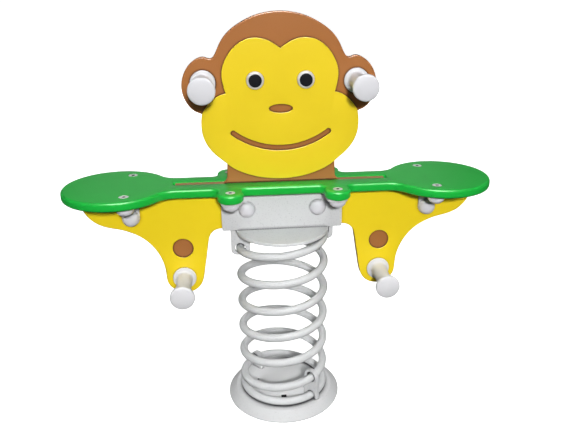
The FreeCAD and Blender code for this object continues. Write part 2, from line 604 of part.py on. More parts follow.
pts = []
a = TOP_END_AZ
step = 12.0
n = int(round((TOP_END_AZ - BOTTOM_END_AZ) / step))
for i in range(n + 1):
    a = BOTTOM_END_AZ + (TOP_END_AZ - BOTTOM_END_AZ) * i / n
    t = math.radians(a)
    pts.append(V(COIL_R * math.cos(t), COIL_R * math.sin(t), wire_z(a)))
c = Part.BSplineCurve()
c.interpolate(pts)
path = Part.Wire([c.toShape()])
d0 = c.tangent(c.FirstParameter)[0]
prof = Part.Wire([Part.Circle(pts[0], d0, WIRE_R).toShape()])
coil = path.makePipeShell([prof], True, True)
coil = coil if coil.Solids else Part.Solid(coil)
save("coil_spring", coil)


def arch(az, r0, r1, top, hole_r, hole_z, notch):
    """Upright plate standing on the base's flat top, round-headed, bored for the wire."""
    t = LOW_CLAMP_T
    rad = (r1 - r0) / 2
    zc = top - rad
    es = [line((r0, SHELF_Z), (r1, SHELF_Z), -t / 2), line((r1, SHELF_Z), (r1, zc), -t / 2),
          arc3((r1, zc), ((r0 + r1) / 2, top), (r0, zc), -t / 2), line((r0, zc), (r0, SHELF_Z), -t / 2)]
    s = Part.Face(Part.Wire(es)).extrude(V(0, t, 0))
    cuts = [cyl_y(hole_r, hole_z, 11.8, -20, 20)]
    if notch:
        cuts += [cyl_y(COIL_R, BOTTOM_FLAT_Z, 9.6, -20, 20), Part.makeBox(19.2, 40, 20, V(COIL_R - 9.6, -20, BOTTOM_FLAT_Z - 20))]
    return turned(one(s.cut(cuts)), az)


z1 = wire_z(-49.0 - 1800.0)
save("lower_clamp_front", arch(-49, 70.0, 106.5, 91.0, COIL_R - 1.0, z1, True))
z2 = wire_z(131.0 - 2160.0)
save("lower_clamp_rear", arch(131, 71.5, 104.5, 61.0, COIL_R - 1.0, z2, False))

# ---------------------------------------------------------------------- base
# low hat with a closed flat top, a floor plate inside it and nuts welded over the anchor holes
cone = revolve([(BASE_R, 0), (BASE_R, 1.5), (SHELF_R + 1.0, SHELF_Z), (0, SHELF_Z), (0, SHELF_Z - SHELL),
                (SHELF_R - 1.5, SHELF_Z - SHELL), (BASE_R - 5.5, 0)])
cone = fillet(cone, (3.0, 2.0), lambda e: abs(e.BoundBox.ZMin - SHELF_Z) < 1e-3 and abs(e.BoundBox.ZMax - SHELF_Z) < 1e-3
              and e.BoundBox.XMax > SHELF_R)
cone = cone.cut([Part.makeBox(DRAIN_W, DRAIN_L, 20.0, V(DRAIN_X - DRAIN_W / 2, DRAIN_Y - DRAIN_L / 2, 10.0)),
                 cyl_z(-59.8, 11.0, 2.2, 10, 30)])
save("base_cone", cone)
anchors = [(ANCHOR_PCD / 2 * math.cos(math.radians(45 + 90 * i)), ANCHOR_PCD / 2 * math.sin(math.radians(45 + 90 * i))) for i in range(4)]
floor = cyl_z(0, 0, FLOOR_R, 0, FLOOR_T).cut([cyl_z(x, y, ANCHOR_R, -1, 10) for x, y in anchors])
save("base_plate", floor)
wnut = hexagon(ANCHOR_NUT_AF, ANCHOR_NUT_T).cut(cyl_z(0, 0, 6.2, -1, ANCHOR_NUT_T + 1))
save("anchor_nuts", [place(wnut, (x, y, FLOOR_T), (0, 0, 1)) for x, y in anchors])
print("wire z: left clamp %.1f right clamp %.1f lower front %.1f lower rear %.1f" % (zl, zr, z1, z2))
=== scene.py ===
import math

import bpy
import numpy as np
from mathutils import Matrix, Vector
from mathutils.geometry import delaunay_2d_cdt


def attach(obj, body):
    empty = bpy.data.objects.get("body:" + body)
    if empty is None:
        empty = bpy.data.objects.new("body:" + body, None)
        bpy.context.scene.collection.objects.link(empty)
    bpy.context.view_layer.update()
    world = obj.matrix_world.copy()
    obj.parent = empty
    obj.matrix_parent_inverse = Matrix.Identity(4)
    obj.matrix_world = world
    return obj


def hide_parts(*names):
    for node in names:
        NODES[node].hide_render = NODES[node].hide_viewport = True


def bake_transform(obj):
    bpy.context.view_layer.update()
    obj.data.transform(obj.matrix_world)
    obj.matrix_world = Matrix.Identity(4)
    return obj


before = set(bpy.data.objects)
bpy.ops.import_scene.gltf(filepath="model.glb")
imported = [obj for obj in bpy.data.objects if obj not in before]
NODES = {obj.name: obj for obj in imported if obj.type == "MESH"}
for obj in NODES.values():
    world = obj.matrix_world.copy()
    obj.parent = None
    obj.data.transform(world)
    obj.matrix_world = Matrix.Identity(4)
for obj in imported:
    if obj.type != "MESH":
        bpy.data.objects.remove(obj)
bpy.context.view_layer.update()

MM = 0.001


# ---------------------------------------------------------------- curves
def spline(P, step=2.0):
    """Natural cubic through the points, sampled about every step mm."""
    P = np.array(P, float)
    t = np.concatenate([[0], np.cumsum(np.linalg.norm(np.diff(P, axis=0), axis=1))])
    n = len(P)
    h = np.diff(t)
    A = np.zeros((n, n))
    B = np.zeros((n, 2))
    A[0, 0] = A[-1, -1] = 1
    for i in range(1, n - 1):
        A[i, i - 1], A[i, i], A[i, i + 1] = h[i - 1], 2 * (h[i - 1] + h[i]), h[i]
        B[i] = 6 * ((P[i + 1] - P[i]) / h[i] - (P[i] - P[i - 1]) / h[i - 1])
    M = np.linalg.solve(A, B)
    m = max(2, int(round(t[-1] / step)))
    s = np.linspace(0, t[-1], m + 1)
    k = np.clip(np.searchsorted(t, s, side="right") - 1, 0, n - 2)
    a = ((t[k + 1] - s) / h[k])[:, None]
    b = ((s - t[k]) / h[k])[:, None]
    hk = h[k][:, None]
    return a * P[k] + b * P[k + 1] + ((a ** 3 - a) * M[k] + (b ** 3 - b) * M[k + 1]) * hk ** 2 / 6


def seg(a, b, step=4.0):
    a, b = np.array(a, float), np.array(b, float)
    n = max(1, int(round(np.linalg.norm(b - a) / step)))
    return a + (b - a) * np.linspace(0, 1, n + 1)[:, None]


def arc(c, r, a0, a1, step=1.5):
    n = max(3, int(math.ceil(abs(a1 - a0) * r / step)))
    t = np.linspace(a0, a1, n + 1)
    return np.stack([c[0] + r * np.cos(t), c[1] + r * np.sin(t)], 1)


def arc3(a, m, b, step=1.0):
    (ax, ay), (mx, my), (bx, by) = a, m, b
    d = 2 * (ax * (my - by) + mx * (by - ay) + bx * (ay - my))
    ux = ((ax ** 2 + ay ** 2) * (my - by) + (mx ** 2 + my ** 2) * (by - ay) + (bx ** 2 + by ** 2) * (ay - my)) / d
    uy = ((ax ** 2 + ay ** 2) * (bx - mx) + (mx ** 2 + my ** 2) * (ax - bx) + (bx ** 2 + by ** 2) * (mx - ax)) / d
    r = math.hypot(ax - ux, ay - uy)
    a0, am, a1 = (math.atan2(q[1] - uy, q[0] - ux) for q in (a, m, b))
    for _ in range(2):
        if am - a0 > math.pi: am -= 2 * math.pi
        if am - a0 < -math.pi: am += 2 * math.pi
        if a1 - am > math.pi: a1 -= 2 * math.pi
        if a1 - am < -math.pi: a1 += 2 * math.pi
    return arc((ux, uy), r, a0, a1, step)


def joinpts(*runs):
    """Chain runs of points into one closed loop without repeats."""
    out = []
    for r in runs:
        for p in r:
            if not out or math.hypot(p[0] - out[-1][0], p[1] - out[-1][1]) > 0.05:
                out.append((float(p[0]), float(p[1])))
    if math.hypot(out[0][0] - out[-1][0], out[0][1] - out[-1][1]) < 0.05:
        out.pop()
    return np.array(out)


def mirx(P):
    P = np.array(P, float)[::-1].copy()
    P[:, 0] *= -1
    return P


def circle(c, r, n=64):
    t = np.linspace(0, 2 * math.pi, n, endpoint=False)
    return np.stack([c[0] + r * np.cos(t), c[1] + r * np.sin(t)], 1)


def area(P):
    x, y = P[:, 0], P[:, 1]
    return 0.5 * float(np.sum(x * np.roll(y, -1) - np.roll(x, -1) * y))


def miter(P):
    """Unit-distance offset of each point of a loop towards its left side."""
    e = np.roll(P, -1, 0) - P
    e /= np.maximum(np.linalg.norm(e, axis=1), 1e-9)[:, None]
    n = np.stack([-e[:, 1], e[:, 0]], 1)
    n0 = np.roll(n, 1, 0)
    m = (n + n0) / np.maximum(1 + np.sum(n * n0, 1), 0.25)[:, None]
    return m


def inside(P, Q):
    """Which of the points Q lie inside loop P."""
    x, y = Q[:, 0][:, None], Q[:, 1][:, None]
    x0, y0 = P[:, 0][None], P[:, 1][None]
    x1, y1 = np.roll(P[:, 0], -1)[None], np.roll(P[:, 1], -1)[None]
    cond = (y0 > y) != (y1 > y)
    with np.errstate(divide="ignore", invalid="ignore"):
        xi = x0 + (y - y0) * (x1 - x0) / np.where(y1 == y0, 1e-12, y1 - y0)
    return (np.sum(cond & (x < xi), 1) % 2) == 1


# ---------------------------------------------------------------- meshes
class Sink:
    """Collects vertices (mm) and faces for one piece."""

    def __init__(self):
        self.v, self.f, self.s, self.n = [], [], [], 0

    def add(self, pts):
        pts = np.asarray(pts, float).reshape(-1, 3)
        i = self.n
        self.v.append(pts)
        self.n += len(pts)
        return i

    def face(self, idx, smooth=True):
        self.f.append(tuple(int(i) for i in idx))
        self.s.append(smooth)

    def slab(self, loops, to3d, extra=None, smooth_caps=False):
        """loops: [(points, profile)], first the outer one, the rest holes. profile: [(inset, height)] from the bottom cap to the top
        cap; inset may be an array with one value for each point. Flat caps close both ends."""
        ends = ([], [])
        for k, (P, prof) in enumerate(loops):
            P = np.array(P, float)
            if (area(P) > 0) != (k == 0):
                P = P[::-1].copy()
                prof = [((np.asarray(d)[::-1] if np.ndim(d) else d), w) for d, w in prof]
            m = miter(P)
            n = len(P)
            rings = []
            for d, w in prof:
                Q = P + m * (np.asarray(d)[:, None] if np.ndim(d) else d)
                rings.append((self.add(to3d(Q[:, 0], Q[:, 1], np.full(n, float(w)))), Q))
            for (a, _), (b, _) in zip(rings, rings[1:]):
                for i in range(n):
                    j = (i + 1) % n
                    self.face((a + i, a + j, b + j, b + i))
            ends[0].append(rings[0])
            ends[1].append(rings[-1])
        for e, w in ((ends[0], loops[0][1][0][1]), (ends[1], loops[0][1][-1][1])):
            pts, ids, edges = [], [], []
            for base, Q in e:
                o = len(pts)
                n = len(Q)
                pts += [Vector((float(x), float(y))) for x, y in Q]
                ids += list(range(base, base + n))
                edges += [(o + i, o + (i + 1) % n) for i in range(n)]
            if extra is not None:
                ok = inside(e[0][1], extra)
                for _, Q in e[1:]:
                    ok &= ~inside(Q, extra)
                ex = extra[ok]
                b = self.add(to3d(ex[:, 0], ex[:, 1], np.full(len(ex), float(w))))
                pts += [Vector((float(x), float(y))) for x, y in ex]
                ids += list(range(b, b + len(ex)))
            vs, _, tris, ov, _, _ = delaunay_2d_cdt(pts, edges, [], 0, 1e-5)
            mp = []
            for i, o in enumerate(ov):
                if o:
                    mp.append(ids[o[0]])
                else:
                    p = vs[i]
                    mp.append(self.add(to3d(np.array([p.x]), np.array([p.y]), np.array([float(w)]))))
            V2 = np.array([(p.x, p.y) for p in vs])
            T = np.array([t for t in tris if len(t) == 3], int)
            c = V2[T].mean(1)
            keep = inside(e[0][1], c)
            for _, Q in e[1:]:
                keep &= ~inside(Q, c)
            for t in T[keep]:
                q = [mp[i] for i in t]
                if len(set(q)) == 3:
                    self.face(q, smooth_caps)

    def revolve(self, prof, to3d, segs=72, closed=False):
        """prof: [(r, h)]. to3d takes (a, b, h) where a, b are across the axis."""
        t = np.linspace(0, 2 * math.pi, segs, endpoint=False)
        rings = []
        for r, h in prof:
            if r < 1e-6:
                rings.append((self.add(to3d(np.array([0.0]), np.array([0.0]), np.array([float(h)]))), 1))
            else:
                rings.append((self.add(to3d(r * np.cos(t), r * np.sin(t), np.full(segs, float(h)))), segs))
        pairs = list(zip(rings, rings[1:]))
        if closed:
            pairs.append((rings[-1], rings[0]))
        for (a, na), (b, nb) in pairs:
            if na == 1 and nb == 1:
                continue
            for i in range(segs):
                j = (i + 1) % segs
                if na == 1:
                    self.face((a, b + j, b + i))
                elif nb == 1:
                    self.face((a + i, a + j, b))
                else:
                    self.face((a + i, a + j, b + j, b + i))

    def build(self, name, mat, sharp=38.0):
        me = bpy.data.meshes.new(name)
        me.from_pydata((np.concatenate(self.v) * MM).tolist(), [], self.f)
        me.polygons.foreach_set("use_smooth", self.s)
        me.update()
        import bmesh
        bm = bmesh.new()
        bm.from_mesh(me)
        bmesh.ops.recalc_face_normals(bm, faces=bm.faces)
        bm.to_mesh(me)
        bm.free()
        me.set_sharp_from_angle(angle=math.radians(sharp))
        ob = bpy.data.objects.new(name, me)
        bpy.context.scene.collection.objects.link(ob)
        me.materials.append(mat)
        return ob


def XZ(u, v, w):
    """Panel plane: (across, up, thickness) to the row frame."""
    return np.stack([u, w, v], 1)


def XY(u, v, w):
    return np.stack([u, v, w], 1)


def at(pos, axis):
    """A frame on pos whose third axis points along axis (a row axis)."""
    axis = np.array(axis, float)
    ref = np.array([1.0, 0, 0]) if abs(axis[0]) < 0.5 else np.array([0, 1.0, 0])
    e1 = ref - axis * (ref @ axis)
    e1 /= np.linalg.norm(e1)
    e2 = np.cross(axis, e1)
    pos = np.array(pos, float)
    return lambda a, b, h: pos + a[:, None] * e1 + b[:, None] * e2 + h[:, None] * axis


def quarter(r, w_top, down, n=5):
    """Rounded edge going up to a face: insets and heights from depth down to 0."""
    out = []
    for i in range(n + 1):
        h = down * (1 - i / n) ** 1.6
        hh = np.minimum(h, r)
        d = r - np.sqrt(np.maximum(r * r - (r - hh) ** 2, 0))
        out.append((d, w_top - h))
    return out


# ------------------------------------------------------------- materials
def mix_rgb(nt, fac, a, b, blend="MIX"):
    n = nt.nodes.new("ShaderNodeMix")
    n.data_type = "RGBA"
    n.blend_type = blend
    for sock, val in ((n.inputs[0], fac), (n.inputs[6], a), (n.inputs[7], b)):
        if hasattr(val, "is_linked") or hasattr(val, "links"):
            nt.links.new(val, sock)
        elif isinstance(val, (tuple, list)):
            sock.default_value = (*val[:3], 1.0)
        else:
            sock.default_value = val
    return n.outputs[2]


def material(name, base, dark, rough, metallic=0.0, scale=40.0, amount=0.5, bump=0.0, bump_scale=900.0,
             speck=None, speck_scale=160.0, speck_amount=0.0, coat=0.0, rough_var=0.05, spec=0.5, painted_shade=None, top=None, reach=0.0045, deep=(0.60, 0.95, 0.95)):
    m = bpy.data.materials.new(name)
    m.use_nodes = True
    nt = m.node_tree
    b = nt.nodes["Principled BSDF"]
    b.inputs["Metallic"].default_value = metallic
    b.inputs["Specular IOR Level"].default_value = spec
    if coat:
        b.inputs["Coat Weight"].default_value = coat
        b.inputs["Coat Roughness"].default_value = 0.25
    tc = nt.nodes.new("ShaderNodeTexCoord")
    n1 = nt.nodes.new("ShaderNodeTexNoise")
    n1.inputs["Scale"].default_value = scale
    n1.inputs["Detail"].default_value = 6.0
    n1.inputs["Roughness"].default_value = 0.62
    nt.links.new(tc.outputs["Object"], n1.inputs["Vector"])
    r = nt.nodes.new("ShaderNodeMapRange")
    r.inputs["From Min"].default_value = 0.36
    r.inputs["From Max"].default_value = 0.64
    r.inputs["To Min"].default_value = 0.0
    r.inputs["To Max"].default_value = amount
    nt.links.new(n1.outputs["Fac"], r.inputs["Value"])
    col = mix_rgb(nt, r.outputs["Result"], base, dark)
    if speck:
        n2 = nt.nodes.new("ShaderNodeTexNoise")
        n2.inputs["Scale"].default_value = speck_scale
        n2.inputs["Detail"].default_value = 3.0
        nt.links.new(tc.outputs["Object"], n2.inputs["Vector"])
        r2 = nt.nodes.new("ShaderNodeMapRange")
        r2.inputs["From Min"].default_value = 0.58
        r2.inputs["From Max"].default_value = 0.68
        r2.inputs["To Min"].default_value = 0.0
        r2.inputs["To Max"].default_value = speck_amount
        nt.links.new(n2.outputs["Fac"], r2.inputs["Value"])
        col = mix_rgb(nt, r2.outputs["Result"], col, speck)
    if top:                                            # painted light: a paler colour near the middle stands in for light on the base's inner top, which the coil turns shade
        sx_ = nt.nodes.new("ShaderNodeVectorMath")
        sx_.operation = "LENGTH"
        nt.links.new(tc.outputs["Object"], sx_.inputs[0])
        r3 = nt.nodes.new("ShaderNodeMapRange")
        r3.inputs["From Min"].default_value, r3.inputs["From Max"].default_value = top[1], top[0]
        r3.inputs["To Min"].default_value, r3.inputs["To Max"].default_value = 1.0, 0.0
        nt.links.new(sx_.outputs["Value"], r3.inputs["Value"])
        col = mix_rgb(nt, r3.outputs["Result"], col, top[2])
    if painted_shade:                                         # painted shade: the colour is darkened by ambient occlusion in corners, recesses and contacts
        ao = nt.nodes.new("ShaderNodeAmbientOcclusion")
        ao.samples = 12
        ao.only_local = False
        ao.inputs["Distance"].default_value = reach
        r4 = nt.nodes.new("ShaderNodeMapRange")
        r4.inputs["From Min"].default_value, r4.inputs["From Max"].default_value = deep[0], deep[1]
        r4.inputs["To Min"].default_value, r4.inputs["To Max"].default_value = deep[2], 0.0
        nt.links.new(ao.outputs["AO"], r4.inputs["Value"])
        col = mix_rgb(nt, r4.outputs["Result"], col, painted_shade)
    nt.links.new(col, b.inputs["Base Color"])
    rr = nt.nodes.new("ShaderNodeMapRange")
    rr.inputs["To Min"].default_value = max(0.05, rough - rough_var)
    rr.inputs["To Max"].default_value = rough + rough_var
    nt.links.new(n1.outputs["Fac"], rr.inputs["Value"])
    nt.links.new(rr.outputs["Result"], b.inputs["Roughness"])
    if bump:
        n3 = nt.nodes.new("ShaderNodeTexNoise")
        n3.inputs["Scale"].default_value = bump_scale
        n3.inputs["Detail"].default_value = 2.0
        nt.links.new(tc.outputs["Object"], n3.inputs["Vector"])
        bp = nt.nodes.new("ShaderNodeBump")
        bp.inputs["Strength"].default_value = bump
        bp.inputs["Distance"].default_value = 0.0004
        nt.links.new(n3.outputs["Fac"], bp.inputs["Height"])
        nt.links.new(bp.outputs["Normal"], b.inputs["Normal"])
    return m


# In these materials the ambient-occlusion darkening is painted shade: along recesses and the face patch, under the
# board and where parts meet
YELLOW = material("yellow_hdpe_look", (0.815, 0.606, 0.021), (0.787, 0.575, 0.019), 0.30, amount=0.25, bump=0.04, spec=0.45, rough_var=0.008,
                  painted_shade=(0.25, 0.090, 0.004), reach=0.014, deep=(0.35, 0.85, 0.9))
# painted light: the legs and wings get a lighter copy of the face's yellow, making up for the less light that reaches
# them
YELLOW_LEG_PAINTED_LIGHT = material("yellow_leg_painted_light_look", (0.885, 0.660, 0.017), (0.855, 0.627, 0.015), 0.30, amount=0.25, bump=0.04, spec=0.45, rough_var=0.008,
                  painted_shade=(0.25, 0.090, 0.004), reach=0.014, deep=(0.35, 0.85, 0.9))
BROWN = material("brown_hdpe_look", (0.385, 0.148, 0.044), (0.358, 0.135, 0.038), 0.30, amount=0.25, bump=0.04, spec=0.45, rough_var=0.008,
                 painted_shade=(0.060, 0.020, 0.008), reach=0.0050, deep=(0.62, 0.97, 1.0))
GREEN = material("green_hdpe_look", (0.010, 0.430, 0.046), (0.008, 0.395, 0.040), 0.34, amount=0.25, bump=0.04, spec=0.36, rough_var=0.008)
GRIP = material("grip_look", (0.630, 0.630, 0.655), (0.610, 0.610, 0.635), 0.50, amount=0.4, bump=0.08, spec=0.25,
                painted_shade=(0.12, 0.12, 0.13), reach=0.008, deep=(0.25, 0.7, 0.8))
# painted light: the footrests get a lighter copy of the grip grey, making up for the less light at their height
FOOT_GRIP_PAINTED_LIGHT = material("foot_grip_painted_light_look", (0.690, 0.688, 0.706), (0.668, 0.666, 0.684), 0.50, amount=0.4, bump=0.08, spec=0.25,
                painted_shade=(0.12, 0.12, 0.13), reach=0.008, deep=(0.25, 0.7, 0.8))
CAPM = material("cap_look", (0.670, 0.660, 0.695), (0.645, 0.635, 0.670), 0.40, amount=0.4, bump=0.04, spec=0.30,
                painted_shade=(0.05, 0.05, 0.055), reach=0.012, deep=(0.30, 0.75, 0.95))
WHITE = material("eye_white_look", (0.620, 0.605, 0.620), (0.600, 0.585, 0.600), 0.35, amount=0.3, bump=0.04, spec=0.40)
BLACK = material("eye_black_look", (0.008, 0.009, 0.012), (0.011, 0.012, 0.016), 0.35, amount=0.4, bump=0.04, spec=0.30)
GALV = material("galvanised_look", (0.620, 0.625, 0.632), (0.585, 0.590, 0.598), 0.55, metallic=0.0, scale=30.0, amount=0.45,
                bump=0.06, bump_scale=500.0, speck=(0.46, 0.465, 0.475), speck_scale=330.0, speck_amount=0.6, rough_var=0.06, spec=0.15,
                painted_shade=(0.07, 0.07, 0.075), reach=0.012, deep=(0.30, 0.72, 0.95))
COIL = material("coil_look", (0.640, 0.650, 0.655), (0.610, 0.620, 0.625), 0.50, metallic=0.0, scale=26.0, amount=0.4,
                bump=0.05, bump_scale=420.0, speck=(0.50, 0.51, 0.515), speck_scale=330.0, speck_amount=0.4, rough_var=0.05, spec=0.15,
                painted_shade=(0.07, 0.07, 0.075), reach=0.012, deep=(0.30, 0.80, 0.95))
# painted light: the base's inner top is given a paler colour, as if it were evenly lit under the coil
BASEM = material("base_look", (0.605, 0.610, 0.617), (0.570, 0.576, 0.584), 0.55, metallic=0.0, scale=24.0, amount=0.45,
                 bump=0.06, bump_scale=420.0, speck=(0.48, 0.485, 0.49), speck_scale=330.0, speck_amount=0.5, rough_var=0.06, spec=0.15,
                 top=(0.098, 0.080, (0.72, 0.725, 0.73)), painted_shade=(0.06, 0.06, 0.065), reach=0.012, deep=(0.30, 0.75, 0.95))
# near-black: the base plate's own colour, and painted shade inside the bolt sockets and the drain slot
DARK_PLATE_AND_PAINTED_SHADE = material("plate_look", (0.030, 0.030, 0.032), (0.022, 0.022, 0.024), 0.60, metallic=0.0, scale=24.0, amount=0.5,
                bump=0.06, bump_scale=420.0, spec=0.20)
ZINC = material("zinc_look", (0.600, 0.630, 0.612), (0.560, 0.588, 0.572), 0.45, metallic=0.0, scale=120.0, amount=0.5, spec=0.22,
                bump=0.05, bump_scale=900.0, painted_shade=(0.05, 0.05, 0.05), reach=0.004, deep=(0.35, 0.8, 0.95))

# ------------------------------------------------------- panel outlines
HEAD = [(0, 857.5), (25, 855.4), (50, 849.2), (75, 837.6), (95, 824.2), (108, 811.3),
        (117, 797.6), (123.2, 785), (127.8, 776.4), (132.8, 771.6), (138.5, 771.2),
        (147, 773.9), (156, 773.2), (166, 768.2), (176, 760), (185, 747.8),
        (191, 733), (193.4, 718), (191.8, 703), (187, 690), (179.5, 678),
        (169.5, 669.3), (156.6, 664.2)]
MUZZLE = [(156.6, 664.2), (158.6, 651), (158.9, 637), (157, 620.5), (151.8, 606),
          (144.2, 593), (134, 581.2), (123, 571.2), (111, 561.2)]
CHIN = [(111, 561.2), (100, 552.9), (80, 542.3), (60, 535.1), (40, 530.2), (20, 527.4), (0, 526.4)]
BROW = [(0, 789.4), (10, 796.2), (21, 802.8), (35, 807.6), (50, 809.1), (65, 806.7),
        (79.5, 800), (92.5, 789.3), (104, 774), (111.3, 759), (114.6, 745), (114.4, 731),
        (112.2, 717.5), (108.5, 704.1)]
CHEEK = [(108.5, 704.1), (117, 702.1), (125, 698.4), (133, 692.9), (141.5, 685.3),
         (149.5, 675.6), (156.6, 664.2)]
WING = [(411.5, 501.3), (411.4, 488), (408.6, 472.5), (399.5, 456.2), (385, 442.5),
        (367, 433.6), (350, 429.2), (334, 425.2), (318, 419), (302, 410.6), (288, 400),
        (275, 385.6), (264.5, 368.6), (257.3, 351), (253.2, 333), (251.8, 316)]
FOOT = [(251.8, 316), (250.6, 302), (244.6, 289.4), (233.5, 279.6), (218.5, 273.4),
        (203, 273.6), (189.2, 279.4), (178.6, 290.2), (172.6, 304.5), (168.6, 325)]
SHIN = [(168.6, 325), (164.8, 347), (161, 370), (157.6, 391), (153.4, 405.5),
        (145, 415), (133, 419.3), (122, 420)]
BOARD_Z0, BOARD_T = 501.3, 19.0
BOARD_Z1 = BOARD_Z0 + BOARD_T

head = spline([(-x, z) for x, z in reversed(HEAD)] + HEAD[1:], 1.5)     # left ear to right ear, over the top
muzzle = spline(MUZZLE, 1.5)
neck = np.vstack([seg((111, 561.2), (112.2, 532.5)), arc3((112.2, 532.5), (116.4, 522.7), (126.4, 518.5))])
upper = joinpts(head, muzzle, neck, seg((126.4, 518.5), (-126.4, 518.5)), mirx(neck), mirx(muzzle))
lower_r = np.vstack([spline(WING, 1.8), spline(FOOT, 1.5), spline(SHIN, 1.8)])
lower = joinpts(seg((-411.5, BOARD_Z0), (411.5, BOARD_Z0), 8), lower_r, seg((122, 420), (-122, 420), 8), mirx(lower_r))
chin = spline(CHIN + [(-x, z) for x, z in reversed(CHIN[:-1])], 1.5)
brow, cheek = spline(BROW, 1.5), spline(CHEEK, 1.5)
patch = joinpts(mirx(brow)[:-1], brow, cheek, muzzle, chin, mirx(muzzle), mirx(cheek))
nose = np.stack([24.0 * np.cos(np.linspace(0, 2 * math.pi, 72, endpoint=False)),
                 672.4 + 8.8 * np.sin(np.linspace(0, 2 * math.pi, 72, endpoint=False))], 1)
_mc, _mr, _mh = (0.0, 592.1 + 160.3), 160.3, math.asin(96.5 / 160.3)
_c0, _c1 = -math.pi / 2 - _mh, -math.pi / 2 + _mh
_e1 = (_mr * math.cos(_c1), _mc[1] + _mr * math.sin(_c1))
_e0 = (_mr * math.cos(_c0), _mc[1] + _mr * math.sin(_c0))
mouth = joinpts(arc(_mc, _mr + 5.5, _c0, _c1, 2.0), arc(_e1, 5.5, _c1, _c1 + math.pi, 1.0)[1:],
                arc(_mc, _mr - 5.5, _c1, _c0, 2.0), arc(_e0, 5.5, _c0 + math.pi, _c0 + 2 * math.pi, 1.0)[1:])
spots = [circle((s * 212.2, 378.2), 21.8, 80) for s in (-1, 1)]
eyeholes = [circle((s * 50.0, 728.5), 17.6, 72) for s in (-1, 1)]


def bolt_holes(z_upper, z_lower):
    u = [circle((s * 151.6, 724.8), 6.1, 32) for s in (-1, 1)] if z_upper else []
    l = []
    if z_lower:
        for s in (-1, 1):
            l += [circle((s * 213.0, 309.2), 6.1, 32), circle((s * 74.5, 463.0), 5.25, 32), circle((s * 313.0, 454.0), 5.25, 32)]
    return u + l


def dist_to(P, Q):
    """Distance from each point of P to the nearest of Q."""
    return np.sqrt(((P[:, None, :] - Q[None]) ** 2).sum(2)).min(1)


R_OUT = 3.0        # rounding of the panel's outer edge
# where the yellow patch meets the panel's own edge the full rounding runs over it, elsewhere the cutter leaves a small one
edge_side = np.vstack([muzzle, mirx(muzzle)])
near = dist_to(patch, edge_side)
patch_r = np.where(near < 0.01, 1.0, 0.0)
k = np.exp(-0.5 * (np.arange(-4, 5) / 2.0) ** 2)
k /= k.sum()
patch_r = np.convolve(np.concatenate([patch_r[-4:], patch_r, patch_r[:4]]), k, "valid")
patch_rad = 1.45 + (R_OUT - 1.45) * patch_r


def skin_profile(rad, y_in, y_out, n=6):
    """Rings from the glued side to the outer face, with the edge rounded to rad (number or array)."""
    s = 1 if y_out > y_in else -1
    H = abs(y_out - y_in)
    rad = np.asarray(rad, float)
    out = []
    for i in range(n + 1):
        h = H * (1 - i / n) ** 1.5
        hh = np.minimum(h, rad)
        d = rad - np.sqrt(np.maximum(rad * rad - (rad - hh) ** 2, 0))
        out.append((d if d.ndim else float(d), y_out - s * h))
    return out


def core_profile(rad, y_in, y_out, skin=1.5):
    """The brown part of the same rounded edge, below the skin."""
    s = 1 if y_out > y_in else -1
    rad = np.asarray(rad, float)
    out = [(np.zeros_like(rad) if rad.ndim else 0.0, y_in)]
    for h in (abs(y_out - y_in) * 0.75, abs(y_out - y_in) * 0.5, abs(y_out - y_in) * 0.25, 0.0):
        hh = np.minimum(h + skin, rad)
        d = rad - np.sqrt(np.maximum(rad * rad - (rad - hh) ** 2, 0))
        out.append((d if d.ndim else float(d), y_out - s * h))
    return out


# brown core: milled upper part, plateaus under the skins, wings and legs, tenon
core = Sink()
up_flush = np.where(dist_to(upper, edge_side) < 0.01, 1.0, 0.0)
up_flush = np.convolve(np.concatenate([up_flush[-4:], up_flush, up_flush[:4]]), k, "valid")
up_rad = np.maximum(R_OUT * (1 - up_flush) - 0.35 * 0, 0.02)
up_rad = np.where(np.array(upper)[:, 1] < 519.0, 0.02, up_rad)
prof = []
for i in range(6):
    h = R_OUT * (1 - i / 5.0) ** 1.5
    hh = np.minimum(h, up_rad)
    prof.append((up_rad - np.sqrt(np.maximum(up_rad ** 2 - (up_rad - hh) ** 2, 0)), 6.5 - h))
profile = [(d, -w) for d, w in reversed(prof)] + prof
holes = [(h, [(0.0, -6.5), (0.0, 6.5)]) for h in bolt_holes(True, False)]
core.slab([(upper, profile)] + holes, XZ)
low_holes = [(h, [(0.0, -6.5), (0.0, 6.5)]) for h in bolt_holes(False, True)]
core.slab([(lower, [(0.0, -6.5), (0.0, 6.5)])] + low_holes, XZ)
low_rad = np.where(lower[:, 1] > BOARD_Z0 - 0.5, 0.02, R_OUT)
low_rad = np.where((lower[:, 1] < 421.5) & (np.abs(lower[:, 0]) < 128), 0.8, low_rad)
for s in (-1, 1):
    core.slab([(patch, core_profile(patch_rad, s * 6.5, s * 8.0))]
              + [(h, [(0.0, s * 6.5), (0.0, s * 8.0)]) for h in [nose, mouth] + eyeholes], XZ)
    core.slab([(lower, core_profile(low_rad, s * 6.5, s * 8.0))]
              + [(h, [(0.0, s * 6.5), (0.0, s * 8.0)]) for h in spots + bolt_holes(False, True)], XZ)
tenon = joinpts(seg((-219, 501.3), (219, 501.3), 20), seg((219, 501.3), (219, 518.5), 6),
                seg((219, 518.5), (-219, 518.5), 20), seg((-219, 518.5), (-219, 501.3), 6))
core.slab([(tenon, [(0.4, -9.5), (0.0, -9.1), (0.0, 9.1), (0.4, 9.5)])], XZ)
panel = core.build("panel_core", BROWN)
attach(panel, "rocker")
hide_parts("face_panel")

